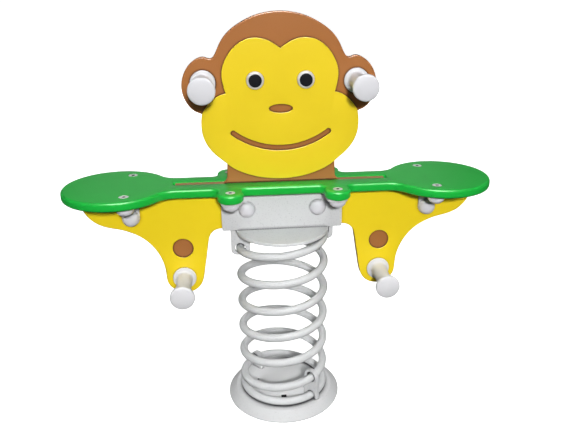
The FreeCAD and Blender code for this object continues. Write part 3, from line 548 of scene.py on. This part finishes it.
for side, s in (("front", -1), ("rear", 1)):
    sk = Sink()
    sk.slab([(patch, skin_profile(patch_rad, s * 8.0, s * 9.5))]
            + [(h, skin_profile(1.45, s * 8.0, s * 9.5)) for h in [nose, mouth]]
            + [(h, [(0.0, s * 8.0), (0.0, s * 9.3), (0.2, s * 9.5)]) for h in eyeholes], XZ)
    ob = sk.build("face_yellow_" + side, YELLOW)
    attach(ob, "rocker")
    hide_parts("face_skin_" + side)
    sk = Sink()
    sk.slab([(lower, skin_profile(low_rad, s * 8.0, s * 9.5))]
            + [(h, skin_profile(1.45, s * 8.0, s * 9.5)) for h in spots]
            + [(h, [(0.0, s * 8.0), (0.0, s * 9.5)]) for h in bolt_holes(False, True)], XZ)
    ob = sk.build("legs_yellow_" + side, YELLOW_LEG_PAINTED_LIGHT)
    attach(ob, "rocker")
    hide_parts("leg_skin_" + side)

# eyes
wh, bl = Sink(), Sink()
for sy in (-1, 1):
    for sx in (-1, 1):
        T = at((sx * 50.0, sy * 6.5, 728.5), (0, sy, 0))
        wh.revolve([(0, 0), (17.5, 0), (17.5, 3.2), (17.45, 4.2), (17.2, 5.2), (16.7, 6.2), (15.9, 7.2), (14.9, 8.0), (13.9, 8.5),
                    (13.3, 8.6), (13.05, 8.5), (13.0, 8.2), (13.0, 6.6), (0, 6.6)], T, 96)
        bl.revolve([(0, 6.62), (12.94, 6.62), (12.94, 8.5), (12.8, 8.9), (12.3, 9.25), (11.2, 9.4), (6.0, 9.55), (0, 9.6)], T, 96)
ob = wh.build("eye_whites_look", WHITE)
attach(ob, "rocker"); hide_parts("eye_whites")
ob = bl.build("eye_pupils_look", BLACK)
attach(ob, "rocker"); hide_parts("eye_pupils")

# ----------------------------------------------------------- seat board
def board_loop():
    SX, SR, W, LX, LY, LR, fr, fo, fi = 338.0, 108.0, 45.0, 107.5, 70.6, 26.0, 40.0, 15.0, 12.0
    cy = W + fr
    cx = SX - math.sqrt((SR + fr) ** 2 - cy ** 2)
    a1 = math.atan2(cy, cx - SX)
    oy = W + fo
    ox = LX + math.sqrt((LR + fo) ** 2 - (LY - oy) ** 2)
    a4 = math.atan2(oy - LY, ox - LX)
    iy = W + fi
    ix = LX - math.sqrt((LR + fi) ** 2 - (LY - iy) ** 2)
    a5 = math.atan2(iy - LY, ix - LX) % (2 * math.pi)
    q = [arc((SX, 0), SR, 0, a1, 2.0),
         arc((cx, cy), fr, a1 - math.pi, -math.pi / 2, 1.5),
         seg((cx, W), (ox, W), 4),
         arc((ox, oy), fo, -math.pi / 2, a4 - math.pi, 1.2),
         arc((LX, LY), LR, a4, a5, 1.5),
         arc((ix, iy), fi, a5 - math.pi, -math.pi / 2, 1.2),
         seg((ix, W), (0, W), 4)]
    Q = np.vstack(q)
    half = joinpts(Q, mirx(Q))
    low = half[::-1].copy()
    low[:, 1] *= -1
    return joinpts(half, low)


outline = board_loop()
r = 6.0
t = np.linspace(0, math.pi / 2, 8)
up = [(r - r * math.cos(a), r * math.sin(a)) for a in t]                # inset, rise
prof = [(d, BOARD_Z0 + r - h) for d, h in reversed(up)] + [(d, BOARD_Z1 - r + h) for d, h in up]
sx, sh, cr = 224.5, 9.7, 5.0
slot = joinpts(seg((-sx + cr, -sh), (sx - cr, -sh), 10), arc((sx - cr, -sh + cr), cr, -math.pi / 2, 0, .8), arc((sx - cr, sh - cr), cr, 0, math.pi / 2, .8),
               seg((sx - cr, sh), (-sx + cr, sh), 10), arc((-sx + cr, sh - cr), cr, math.pi / 2, math.pi, .8), arc((-sx + cr, -sh + cr), cr, math.pi, 1.5 * math.pi, .8))
loops = [(outline, prof), (slot, [(0.6, BOARD_Z0), (0.0, BOARD_Z0 + 0.6), (0.0, BOARD_Z1 - 1.0), (0.35, BOARD_Z1 - 0.3), (1.0, BOARD_Z1)])]
BOLTS_TOP = [(a * x, b * y) for a in (-1, 1) for b in (-1, 1) for x, y in ((107.5, 70.6), (313.0, 70.7))]
for x, y in BOLTS_TOP:
    loops.append((circle((x, y), 5.25, 64), [(0.0, BOARD_Z0), (0.0, BOARD_Z1 - 5.3), (4.75, BOARD_Z1 - 0.55), (4.75, BOARD_Z1 - 0.3), (5.0, BOARD_Z1)]))
bd = Sink()
bd.slab(loops, XY)
ob = bd.build("board_look", GREEN)
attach(ob, "rocker"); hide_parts("seat_board")

# ------------------------------------------------------------- steelwork
def plate_part(name, node, mat, adds, sharp=38.0, body="rocker"):
    s = Sink()
    for a in adds:
        a(s)
    o = s.build(name, mat, sharp)
    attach(o, body)
    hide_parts(node)
    return o


def bent_plate(S, outline_pts, holes, sy, s_bend0, s_bend1, y_in=9.5, T=5.0, z_top=501.3, r_in=3.0, edge=0.6):
    """A flat pattern (x across, s along) folded under the board: s runs down from 0 at the fold's end on the
    vertical leg (s < s_bend0) and outwards on the horizontal one (s > s_bend1)."""
    def to3d(x, s, w):
        # w: 0 at the inner face (towards panel and board), T at the outer one
        ro = r_in + T
        y = np.empty_like(x)
        z = np.empty_like(x)
        cy, cz = y_in + T + r_in, z_top - T - r_in
        v = s <= s_bend0
        z[v] = cz + (s[v] - s_bend0)
        y[v] = y_in + w[v]
        h = s >= s_bend1
        y[h] = cy + (s[h] - s_bend1)
        z[h] = z_top - w[h]
        m = ~(v | h)
        a = (s[m] - s_bend0) / (s_bend1 - s_bend0) * math.pi / 2
        rad = ro - w[m]
        y[m] = cy - rad * np.cos(a)
        z[m] = cz + rad * np.sin(a)
        return np.stack([x, sy * y, z], 1)

    xs = np.arange(outline_pts[:, 0].min() + 1.0, outline_pts[:, 0].max(), 4.0)
    ss = np.linspace(s_bend0, s_bend1, 9)
    extra = np.array([(x, s) for x in xs for s in ss])
    prof = [(edge, 0.0), (edge * 0.3, edge * 0.3), (0.0, edge), (0.0, T - edge), (edge * 0.3, T - edge * 0.3), (edge, T)]
    S.slab([(outline_pts, prof)] + [(h, [(0.0, 0.0), (0.0, T)]) for h in holes], to3d, extra=extra, smooth_caps=True)


BEND = 8.6      # length of the fold in the flat pattern


def rounded(pts, radii, step=1.0):
    """Polygon with rounded corners (convex or concave), radius 0 keeps the corner."""
    P = [np.array(p, float) for p in pts]
    n = len(P)
    out = []
    for i in range(n):
        r = radii[i]
        a, b, c = P[i - 1], P[i], P[(i + 1) % n]
        if r <= 0:
            out.append([b])
            continue
        u, v = (a - b) / np.linalg.norm(a - b), (c - b) / np.linalg.norm(c - b)
        ang = math.acos(max(-1, min(1, float(u @ v))))
        d = r / math.tan(ang / 2)
        p, q = b + u * d, b + v * d
        bis = (u + v) / np.linalg.norm(u + v)
        cc = b + bis * (r / math.sin(ang / 2))
        m = cc - bis * r
        out.append(arc3(tuple(p), tuple(m), tuple(q), step))
    return np.vstack(out)


def densify(P, step):
    out = []
    n = len(P)
    for i in range(n):
        a, b = P[i], P[(i + 1) % n]
        k = max(1, int(math.ceil(np.linalg.norm(b - a) / step)))
        out.append(a + (b - a) * np.linspace(0, 1, k, endpoint=False)[:, None])
    return np.vstack(out)


S0 = 0.0                                    # fold starts
S1 = BEND
CZ = 501.3 - 8.0                            # height where the fold starts
REACH = 88.0
OUT = REACH - (9.5 + 5.0 + 3.0) + S1        # s of the tab's tip
for side, sy in (("front", -1), ("rear", 1)):
    zb = 416.5 - CZ
    mid_top = 499.0 - CZ - 3.5
    pts = [(-127.5, zb), (127.5, zb), (127.5, OUT), (85.5, OUT), (85.5, -4.0), (81.5, -4.0), (81.5, 2.5),
           (-81.5, 2.5), (-81.5, -4.0), (-85.5, -4.0), (-85.5, OUT), (-127.5, OUT)]
    rad = [3, 3, 16, 16, 1.9, 1.9, 1, 1, 1.9, 1.9, 16, 16]
    # the middle of the plate stays flat, so its top stops below the fold
    pts[6], pts[7] = (81.5, -0.4), (-81.5, -0.4)
    pts[5], pts[8] = (81.5, -4.0), (-81.5, -4.0)
    flat = densify(rounded(pts, rad), 3.0)
    hs = [circle((s * 74.5, 463.0 - CZ), 5.25, 32) for s in (-1, 1)] + [circle((s * 107.5, 70.6 - 17.5 + S1), 5.25, 32) for s in (-1, 1)]
    plate_part("bracket_%s_look" % side, "bracket_" + side, GALV,
               [lambda S, f=flat, h=hs, y=sy: bent_plate(S, f, h, y, S0, S1)])
    for lr, sx in (("left", -1), ("right", 1)):
        x0 = sx * 313.0
        zb = 436.0 - CZ
        pts = [(x0 - 18, zb), (x0 + 18, zb), (x0 + 18, OUT), (x0 - 18, OUT)]
        flat = densify(rounded(pts, [17.5, 17.5, 17.0, 17.0]), 3.0)
        hs = [circle((x0, 454.0 - CZ), 5.25, 32), circle((x0, 70.7 - 17.5 + S1), 5.25, 32)]
        plate_part("seat_angle_%s_%s_look" % (side, lr), "seat_angle_%s_%s" % (side, lr), GALV,
                   [lambda S, f=flat, h=hs, y=sy: bent_plate(S, f, h, y, S0, S1)])

# ------------------------------------------------------------- fasteners
def hexpts(af, rot=0.0):
    return circle((0, 0), af / math.sqrt(3.0), 6) if not rot else circle((0, 0), af / math.sqrt(3.0), 6)


def csk_bolt(S, T):
    """Countersunk socket bolt; h = 0 on the board's top, growing upwards."""
    hexa = densify(hexpts(6.0), 1.2)
    S.slab([(circle((0, 0), 9.8, 72), [(4.8, -5.6), (0.15, -0.95), (0.0, -0.75), (0.0, -0.5), (0.25, -0.3)]),
            (hexa, [(0.0, -5.6), (0.0, -0.55), (0.3, -0.3)])], T)
    S.revolve([(0, -4.3), (3.2, -4.3), (3.2, -5.6), (5.0, -5.6), (5.0, -33.5), (4.0, -34.5), (0, -34.5)], T, 40)


def nut(S, T, af=16.0, t=8.0):
    R = af / math.sqrt(3.0)
    hx = densify(hexpts(af), 1.5)
    S.slab([(hx, [(0.5, 0.0), (0.0, 0.5), (0.0, t - 0.5), (0.5, t)]), (circle((0, 0), 5.02, 32), [(0.5, 0.0), (0.0, 0.5), (0.0, t - 0.5), (0.5, t)])], T)


def washer(S, T):
    S.slab([(circle((0, 0), 10.4, 48), [(0.2, 0.0), (0.0, 0.2), (0.0, 1.8), (0.2, 2.0)]), (circle((0, 0), 5.25, 32), [(0.0, 0.0), (0.0, 2.0)])], T)


def dome_cap(S, T, h):
    """Snap-on domed cover: a low base ring with a fine step, then the dome."""
    prof = [(10.6, 0.0), (16.9, 0.0), (17.35, 0.2), (17.5, 0.65), (17.5, 2.0), (17.35, 2.4), (17.1, 2.6), (17.1, 2.9)]
    for i in range(1, 20):
        t = math.radians(90.0 * i / 20)
        prof.append((17.1 * math.cos(t) ** 0.94, 2.9 + (h - 2.9) * math.sin(t)))
    prof += [(0.0, h), (0.0, h - 2.4), (7.6, h - 2.4), (10.6, h - 6.4)]
    S.revolve(prof, T, 72, closed=True)


def group(name, node, mat, fn):
    S = Sink()
    fn(S)
    o = S.build(name, mat)
    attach(o, "rocker")
    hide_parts(node)
    return o


def four(fn, x, y, z, axis):
    def f(S):
        for a in (-1, 1):
            for b in (-1, 1):
                fn(S, at((a * x, b * y, z), axis))
    return f


ZT = 496.3
def paint_socket_shade(o, x, y):
    """Painted shade: the walls and floor of the hex sockets get the near-black material for the shade inside them."""
    o.data.materials.append(DARK_PLATE_AND_PAINTED_SHADE)
    for pg in o.data.polygons:
        q = pg.center * 1000.0
        if math.hypot(abs(q.x) - x, abs(q.y) - y) < 3.7 and BOARD_Z1 - 5.0 < q.z < BOARD_Z1 - 0.42:
            pg.material_index = 1


paint_socket_shade(group("lobe_bolts_look", "lobe_bolts", ZINC, four(csk_bolt, 107.5, 70.6, BOARD_Z1, (0, 0, 1))), 107.5, 70.6)
paint_socket_shade(group("seat_bolts_look", "seat_bolts", ZINC, four(csk_bolt, 313.0, 70.7, BOARD_Z1, (0, 0, 1))), 313.0, 70.7)
group("lobe_nuts_look", "lobe_bolt_nuts", ZINC, four(nut, 107.5, 70.6, ZT, (0, 0, -1)))
group("seat_nuts_look", "seat_bolt_nuts", ZINC, four(nut, 313.0, 70.7, ZT, (0, 0, -1)))
group("lobe_caps_look", "lobe_bolt_caps", CAPM, four(lambda S, T: dome_cap(S, T, 15.3), 107.5, 70.6, ZT, (0, 0, -1)))
group("seat_caps_look", "seat_bolt_caps", CAPM, four(lambda S, T: dome_cap(S, T, 15.3), 313.0, 70.7, ZT, (0, 0, -1)))


def through(fn_front, fn_rear, x, z):
    def f(S):
        for a in (-1, 1):
            if fn_front:
                fn_front(S, at((a * x, -14.5, z), (0, -1, 0)))
            if fn_rear:
                fn_rear(S, at((a * x, 14.5, z), (0, 1, 0)))
    return f


def lifted(fn, h0):
    def f(S, T):
        fn(S, lambda a, b, h: T(a, b, h + h0))
    return f


def hex_bolt(S, T):
    hx = densify(hexpts(16.0), 1.5)
    S.slab([(hx, [(0.0, 2.0), (0.0, 7.8), (0.6, 8.4)])], T)
    S.revolve([(0, 2.0), (5.0, 2.0), (5.0, -40.0), (4.0, -41.0), (0, -41.0)], T, 40)


for nm, x, z in (("bracket_bolt", 74.5, 463.0), ("seat_panel_bolt", 313.0, 454.0)):
    group(nm + "s_look", nm + "s", ZINC, through(hex_bolt, None, x, z))
    group(nm + "_nuts_look", nm + "_nuts", ZINC, through(None, lifted(nut, 2.0), x, z))
    group(nm + "_washers_look", nm + "_washers", ZINC, through(washer, washer, x, z))
    group(nm + "_caps_look", nm + "_caps", CAPM,
          through(lambda S, T: dome_cap(S, T, 16.5), lambda S, T: dome_cap(S, T, 16.5), x, z))

# ----------------------------------------------------------------- grips
def run(P, step=0.8):
    return [tuple(p) for p in spline(P, step)]


GRIP_PROF = ([(6.05, 0.0), (23.9, 0.0)]
             + run([(23.9, 0.0), (24.6, 0.7), (24.8, 1.8), (24.6, 3.0), (23.6, 4.0), (22.2, 4.6)], 0.6)[1:]
             + run([(22.2, 4.6), (19.0, 5.8), (16.9, 8.2), (16.0, 12.0)], 1.0)[1:]
             + [(15.85, 30.0), (15.7, 50.0), (15.6, 70.0)]
             + run([(15.6, 70.0), (15.9, 76.0), (17.0, 80.5), (19.2, 83.4), (22.3, 85.2)], 1.0)[1:]
             + run([(22.3, 85.2), (24.6, 86.9), (25.5, 89.6), (25.5, 92.2), (25.0, 94.4), (23.6, 96.1)], 0.7)[1:]
             + run([(23.6, 96.1), (20.5, 97.3), (15.0, 98.6), (7.5, 99.5), (0.0, 99.8)], 1.0)[1:]
             + [(0.0, 57.0), (6.05, 57.0)])
for fr, sy in (("front", -1), ("rear", 1)):
    for lr, sx in (("left", -1), ("right", 1)):
        for nm, x, z, y in (("ear_handle", 151.6, 724.8, 6.5), ("footrest", 213.0, 309.2, 9.5)):
            node = "%s_%s_%s" % (nm, fr, lr)
            S = Sink()
            S.revolve(GRIP_PROF, at((sx * x, sy * y, z), (0, sy, 0)), 96, closed=True)
            o = S.build(node + "_look", GRIP if nm == "ear_handle" else FOOT_GRIP_PAINTED_LIGHT)
            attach(o, "rocker")
            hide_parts(node)


def rods(x, z, half):
    def f(S):
        for a in (-1, 1):
            S.revolve([(0, -half), (5.2, -half), (5.98, -half + 0.8), (5.98, half - 0.8), (5.2, half), (0, half)], at((a * x, 0, z), (0, 1, 0)), 32)
    return f


group("handle_rods_look", "handle_rods", ZINC, rods(151.6, 724.8, 62.0))
group("footrest_rods_look", "footrest_rods", ZINC, rods(213.0, 309.2, 63.5))

# ------------------------------------------------------- disc and clamps
S = Sink()
S.revolve([(0, 410.5), (98.6, 410.5), (99.0, 410.9), (99.0, 414.0), (98.8, 415.0), (98.2, 415.9), (97.2, 416.4), (96.2, 416.5), (0, 416.5)],
          at((0, 0, 0), (0, 0, 1)), 160)
o = S.build("top_disc_look", GALV)
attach(o, "rocker"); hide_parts("top_disc")


def radial(az):
    a = math.radians(az)
    er = np.array([math.cos(a), math.sin(a), 0])
    et = np.array([-math.sin(a), math.cos(a), 0])
    return lambda u, v, w: u[:, None] * er + w[:, None] * et + v[:, None] * np.array([0, 0, 1.0])


def clamp(name, node, body, pts, rad, holes, az):
    S = Sink()
    P = densify(rounded(pts, rad, 0.8), 3.0)
    pr = [(0.8, -4.0), (0.25, -3.75), (0.0, -3.2), (0.0, 3.2), (0.25, 3.75), (0.8, 4.0)]
    ph = [(0.6, -4.0), (0.15, -3.85), (0.0, -3.4), (0.0, 3.4), (0.15, 3.85), (0.6, 4.0)]
    S.slab([(P, pr)] + [(h, ph) for h in holes], radial(az))
    o = S.build(name, GALV if body == "rocker" else BASEM)
    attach(o, body)
    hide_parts(node)
    return o


WR, CR, PITCH = 8.8, 91.2, 63.7


def wire_z(a):
    z = 386.3 + PITCH * (a + 90.0) / 360.0
    k = 1.1
    if z < 28.6 + 40:
        z = 28.6 + math.log1p(math.exp(min(60.0, (z - 28.6) / k))) * k
    if z > 401.5 - 40:
        z = 401.5 - math.log1p(math.exp(min(60.0, (401.5 - z) / k))) * k
    return z


zl, zr, z1, z2 = wire_z(-180.0), wire_z(0.0), wire_z(-1849.0), wire_z(-2029.0)
clamp("top_clamp_left_look", "top_clamp_left", "rocker",
      [(70, 410.5), (70, 355), (110.5, 355), (110.5, 416), (99.2, 416), (99.2, 410.5)], [0, 12, 12, 3, 0, 0],
      [circle((CR, zl), 11.5, 56)], 180)


def notch(c, r, z_open, n=30, up=True):
    """Points of a U notch from left to right."""
    t = np.linspace(math.pi, 2 * math.pi, n) if up else np.linspace(math.pi, 0, n)
    return [(c[0] + r * math.cos(a), c[1] + r * math.sin(a)) for a in t]


un = notch((CR, zr), 10.0, None)
right_pts = [(70, 410.5), (70, 384), (110.5, 384), (110.5, 416), (99.2 + 2.2, 416), (99.2 + 2.2, 410.5)]
# the notch opens upwards under the disc; the outer leg stands beside the disc's rim
right_pts = [(70, 410.5), (70, 384), (110.5, 384), (110.5, 416), (101.3, 416), (101.3, zr + 0.2)]
P = [(70.0, 410.5)] + [tuple(p) for p in arc((82, 396), 12, math.pi, 1.5 * math.pi, 0.8)] \
    + [tuple(p) for p in arc((98.5, 396), 12, 1.5 * math.pi, 2 * math.pi, 0.8)] + [(110.5, 413.0), (109.6, 415.1), (107.5, 416.0), (101.2, 416.0)] \
    + [(CR + 10.0 * math.cos(a), zr + 10.0 * math.sin(a)) for a in np.linspace(0, -math.pi, 30)] + [(81.2, 410.5)]
S = Sink()
P = densify(np.array(P), 3.0)
S.slab([(P, [(0.6, -4.0), (0.2, -3.8), (0.0, -3.4), (0.0, 3.4), (0.2, 3.8), (0.6, 4.0)])], radial(0))
o = S.build("top_clamp_right_look", GALV)
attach(o, "rocker"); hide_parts("top_clamp_right")

# lower clamps: round-headed plates that stand on the base's flat top
def arch(name, node, az, r0, r1, top, hz, notch):
    rad = (r1 - r0) / 2
    P = [(r0, 19.8)]
    if notch:
        P += [(CR - 9.6, 19.8)] + [(CR + 9.6 * math.cos(a), 28.6 + 9.6 * math.sin(a)) for a in np.linspace(math.pi, 0, 30)] + [(CR + 9.6, 19.8)]
    P += [(r1, 19.8)] + [tuple(q) for q in arc(((r0 + r1) / 2, top - rad), rad, 0, math.pi, 0.8)]
    pr = [(1.2, -5.5), (0.35, -5.15), (0.0, -4.3), (0.0, 4.3), (0.35, 5.15), (1.2, 5.5)]
    ph = [(0.7, -5.5), (0.2, -5.3), (0.0, -4.8), (0.0, 4.8), (0.2, 5.3), (0.7, 5.5)]
    S = Sink()
    S.slab([(densify(np.array(P), 3.0), pr), (circle((CR - 1.0, hz), 11.8, 56), ph)], radial(az))
    o = S.build(name, BASEM)
    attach(o, "base"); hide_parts(node)


arch("lower_clamp_front_look", "lower_clamp_front", -49, 70.0, 106.5, 91.0, z1, True)
arch("lower_clamp_rear_look", "lower_clamp_rear", 131, 71.5, 104.5, 61.0, z2, False)

# ---------------------------------------------------------------- spring
CUT_Z = 295.0
A_CUT = -90.0 - (386.3 - CUT_Z) * 360.0 / PITCH
A_TOP, A_BOT = 18.0, -2355.0


def wire(a0, a1, name, end0, end1):
    """Sweep of the round wire between two unrolled azimuths; end0/end1 put a small chamfer on a real end."""
    n = int(math.ceil(abs(a1 - a0) / 3.0))
    aa = np.linspace(a0, a1, n + 1)
    segs = 28
    S = Sink()
    rings = []
    t = np.linspace(0, 2 * math.pi, segs, endpoint=False)

    def ring(a, r, shift=0.0):
        an = math.radians(a)
        z = wire_z(a)
        dz = (wire_z(a + 0.5) - wire_z(a - 0.5)) / math.radians(1.0)
        tang = np.array([-CR * math.sin(an), CR * math.cos(an), dz])
        tang /= np.linalg.norm(tang)
        er = np.array([math.cos(an), math.sin(an), 0.0])
        up = np.cross(er, tang)
        up /= np.linalg.norm(up)
        c = np.array([CR * math.cos(an), CR * math.sin(an), z]) + tang * shift
        return S.add(c + r * (np.cos(t)[:, None] * er + np.sin(t)[:, None] * up))

    if end0:
        rings.append(ring(a0, WR - 0.9, -0.9))
    for a in aa:
        rings.append(ring(a, WR))
    if end1:
        rings.append(ring(a1, WR - 0.9, 0.9))
    for p, q in zip(rings, rings[1:]):
        for i in range(segs):
            j = (i + 1) % segs
            S.face((p + i, p + j, q + j, q + i))
    S.face([rings[0] + i for i in range(segs)], False)
    S.face([rings[-1] + i for i in range(segs)][::-1], False)
    return S.build(name, COIL, 50.0)


low = wire(A_BOT, A_CUT, "coil_lower_look", True, False)
high = wire(A_CUT, A_TOP, "coil_upper_look", False, True)
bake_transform(low)
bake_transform(high)
for o in (low, high):
    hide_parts("coil_spring")

# ------------------------------------------------------------------ base
Z3 = at((0, 0, 0), (0, 0, 1))
DX, DY, DW, DL = -5.1, -61.3, 12.0, 12.6
drain = rounded([(DX - DW / 2, DY - DL / 2), (DX + DW / 2, DY - DL / 2), (DX + DW / 2, DY + DL / 2), (DX - DW / 2, DY + DL / 2)], [0.8] * 4, 0.4)
S = Sink()
S.slab([(circle((0, 0), 129.0, 200), [(20.5, 15.3), (5.5, 0.0), (0.8, 0.0), (0.2, 0.3), (0.0, 0.9), (0.1, 1.8), (0.6, 2.6), (16.4, 17.6),
                                      (17.3, 18.6), (18.6, 19.4), (20.0, 19.75), (21.4, 19.8)]),
        (densify(drain, 2.0), [(0.0, 15.3), (0.0, 19.5), (0.3, 19.8)]), (circle((-59.8, 11.0), 2.2, 24), [(0.0, 15.3), (0.0, 19.6), (0.2, 19.8)])], XY)
o = S.build("base_cone_look", BASEM, 50.0)
o.data.materials.append(DARK_PLATE_AND_PAINTED_SHADE)                      # painted shade: the drain slot's walls get the near-black material for the shade inside the slot
for pg in o.data.polygons:
    q = pg.center * 1000.0
    if abs(q.x - DX) < DW / 2 + 0.2 and abs(q.y - DY) < DL / 2 + 0.2 and q.z < 19.55:
        pg.material_index = 1
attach(o, "base"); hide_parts("base_cone")
anchors = [(60 * math.cos(math.radians(45 + 90 * i)), 60 * math.sin(math.radians(45 + 90 * i))) for i in range(4)]
S = Sink()
S.slab([(circle((0, 0), 117.0, 160), [(0.6, 0.0), (0.0, 0.6), (0.0, 5.4), (0.6, 6.0)])]
       + [(circle(q, 6.5, 40), [(0.3, 0.0), (0.0, 0.3), (0.0, 5.7), (0.3, 6.0)]) for q in anchors], XY)
o = S.build("base_plate_look", DARK_PLATE_AND_PAINTED_SHADE)
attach(o, "base"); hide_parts("base_plate")
S = Sink()
for q in anchors:
    S.slab([(densify(hexpts(18.0), 1.5), [(0.5, 0.0), (0.0, 0.5), (0.0, 8.5), (0.5, 9.0)]), (circle((0, 0), 6.2, 32), [(0.5, 0.0), (0.0, 0.5), (0.0, 8.5), (0.5, 9.0)])],
           at((q[0], q[1], 6.0), (0, 0, 1)))
o = S.build("anchor_nuts_look", ZINC)
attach(o, "base"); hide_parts("anchor_nuts")

# ------------------------------------------------------------- the stage
FLOORM = bpy.data.materials.new("floor")
FLOORM.use_nodes = True
fb = FLOORM.node_tree.nodes["Principled BSDF"]
fb.inputs["Base Color"].default_value = (0.60, 0.60, 0.60, 1)
fb.inputs["Roughness"].default_value = 0.9
fb.inputs["Specular IOR Level"].default_value = 0.0
fb.inputs["Emission Color"].default_value = (1.0, 1.0, 1.0, 1)
fb.inputs["Emission Strength"].default_value = 0.92
me = bpy.data.meshes.new("floor")
N = 96
vs, fs = [(0, 0, 0)], []
rr = [0.0, 0.4, 1.2, 4.0, 14.0, 60.0]
for r_ in rr[1:]:
    for i in range(N):
        a = 2 * math.pi * i / N
        vs.append((r_ * math.cos(a), r_ * math.sin(a), 0))
for i in range(N):
    fs.append((0, 1 + i, 1 + (i + 1) % N))
for q in range(len(rr) - 2):
    for i in range(N):
        a, b = 1 + q * N + i, 1 + q * N + (i + 1) % N
        fs.append((a, a + N, b + N, b))
me.from_pydata(vs, [], fs)
me.materials.append(FLOORM)
floor = bpy.data.objects.new("floor", me)
bpy.context.scene.collection.objects.link(floor)
floor.visible_diffuse = False        # the white floor doesn't wash out the shaded sides
floor.visible_glossy = False

# studio world: dim below the horizon, growing brighter towards the top
world = bpy.data.worlds.new("studio")
bpy.context.scene.world = world
world.use_nodes = True
wn = world.node_tree
bg = wn.nodes["Background"]
tc = wn.nodes.new("ShaderNodeTexCoord")
sp = wn.nodes.new("ShaderNodeSeparateXYZ")
wn.links.new(tc.outputs["Generated"], sp.inputs[0])
rp = wn.nodes.new("ShaderNodeValToRGB")
rp.color_ramp.interpolation = "EASE"
el = rp.color_ramp.elements
el[0].position, el[0].color = 0.0, (0.06, 0.06, 0.06, 1)
el[1].position, el[1].color = 1.0, (0.28, 0.28, 0.28, 1)
for pos, v in ((0.44, 0.05), (0.50, 0.09), (0.62, 0.10), (0.75, 0.15)):
    e = el.new(pos)
    e.color = (v, v, v, 1)
mr = wn.nodes.new("ShaderNodeMapRange")
mr.inputs["From Min"].default_value, mr.inputs["From Max"].default_value = -1.0, 1.0
wn.links.new(sp.outputs["Z"], mr.inputs["Value"])
wn.links.new(mr.outputs["Result"], rp.inputs["Fac"])
lp = wn.nodes.new("ShaderNodeLightPath")          # seen directly, the studio wall is plain white
wn.links.new(mix_rgb(wn, lp.outputs["Is Camera Ray"], rp.outputs["Color"], (1.0, 1.0, 1.0)), bg.inputs["Color"])
bg.inputs["Strength"].default_value = 1.0


def area_light(name, loc, target, size, power, color=(1, 1, 1)):
    l = bpy.data.lights.new(name, "AREA")
    l.shape = "DISK"
    l.size = size
    l.energy = power
    l.color = color
    o = bpy.data.objects.new(name, l)
    o.location = loc
    d = Vector(target) - Vector(loc)
    o.rotation_mode = "QUATERNION"
    o.rotation_quaternion = d.to_track_quat("-Z", "Y")
    o.visible_camera = False
    bpy.context.scene.collection.objects.link(o)
    return o


def light_at(name, az, elev, dist, size, k):
    """Softbox at azimuth and height angle; k is the brightness that it gives a white surface facing it."""
    a, e = math.radians(az), math.radians(elev)
    c = Vector((0.0, 0.0, 0.5))
    loc = c + dist * Vector((math.cos(e) * math.cos(a), math.cos(e) * math.sin(a), math.sin(e)))
    return area_light(name, loc, c, size, k * math.pi ** 2 * dist ** 2)


# the key stands just above the camera and is tipped down, so that the head isn't brighter than the legs
area_light("key", (0.0, -2.16, 1.39), (0.0, -1.16, -0.04), 0.26, 0.97 / 0.842 * math.pi ** 2 * 2.336 ** 2).visible_glossy = False
light_at("top", -88, 74, 3.0, 0.9, 0.17).visible_glossy = False
light_at("back", 85, 8, 4.5, 1.6, 0.50).visible_glossy = False
light_at("side_left", 172, 14, 4.5, 1.6, 0.20).visible_glossy = False
light_at("side_right", 8, 14, 4.5, 1.6, 0.20).visible_glossy = False
# two softboxes that only show as reflections: along the upper roundings, and as a sheen on the board
light_at("gloss_top", -90, 57, 3.0, 1.9, 3.1).visible_diffuse = False
light_at("gloss_back", 88, 24, 4.5, 4.0, 0.055).visible_diffuse = False

# ---------------------------------------------------------------- camera
yaw, pitch, roll = 0.114199, 0.372009, -0.001216
cam = bpy.data.cameras.new("camera")
co = bpy.data.objects.new("camera", cam)
bpy.context.scene.collection.objects.link(co)
fwd = Vector((math.sin(yaw) * math.cos(pitch), math.cos(yaw) * math.cos(pitch), -math.sin(pitch)))
rt = Vector((math.cos(yaw), -math.sin(yaw), 0.0))
upv = rt.cross(fwd)
c_, s_ = math.cos(roll), math.sin(roll)
r2 = rt * c_ + upv * s_
u2 = -rt * s_ + upv * c_
M = Matrix(((r2.x, u2.x, -fwd.x), (r2.y, u2.y, -fwd.y), (r2.z, u2.z, -fwd.z)))
co.matrix_world = Matrix.Translation(Vector((-105.914, -1244.317, 922.029)) * MM) @ M.to_4x4()
cam.sensor_width = 36.0
cam.sensor_fit = "HORIZONTAL"
cam.lens = 36.0 * 625.007 / 580.0
cam.shift_x = -8.882 / 580.0
cam.shift_y = 0.311 / 580.0
cam.clip_start, cam.clip_end = 0.05, 200.0
bpy.context.scene.camera = co

sc = bpy.context.scene
sc.view_settings.view_transform = "Standard"
sc.view_settings.look = "None"
sc.view_settings.exposure = 0.0
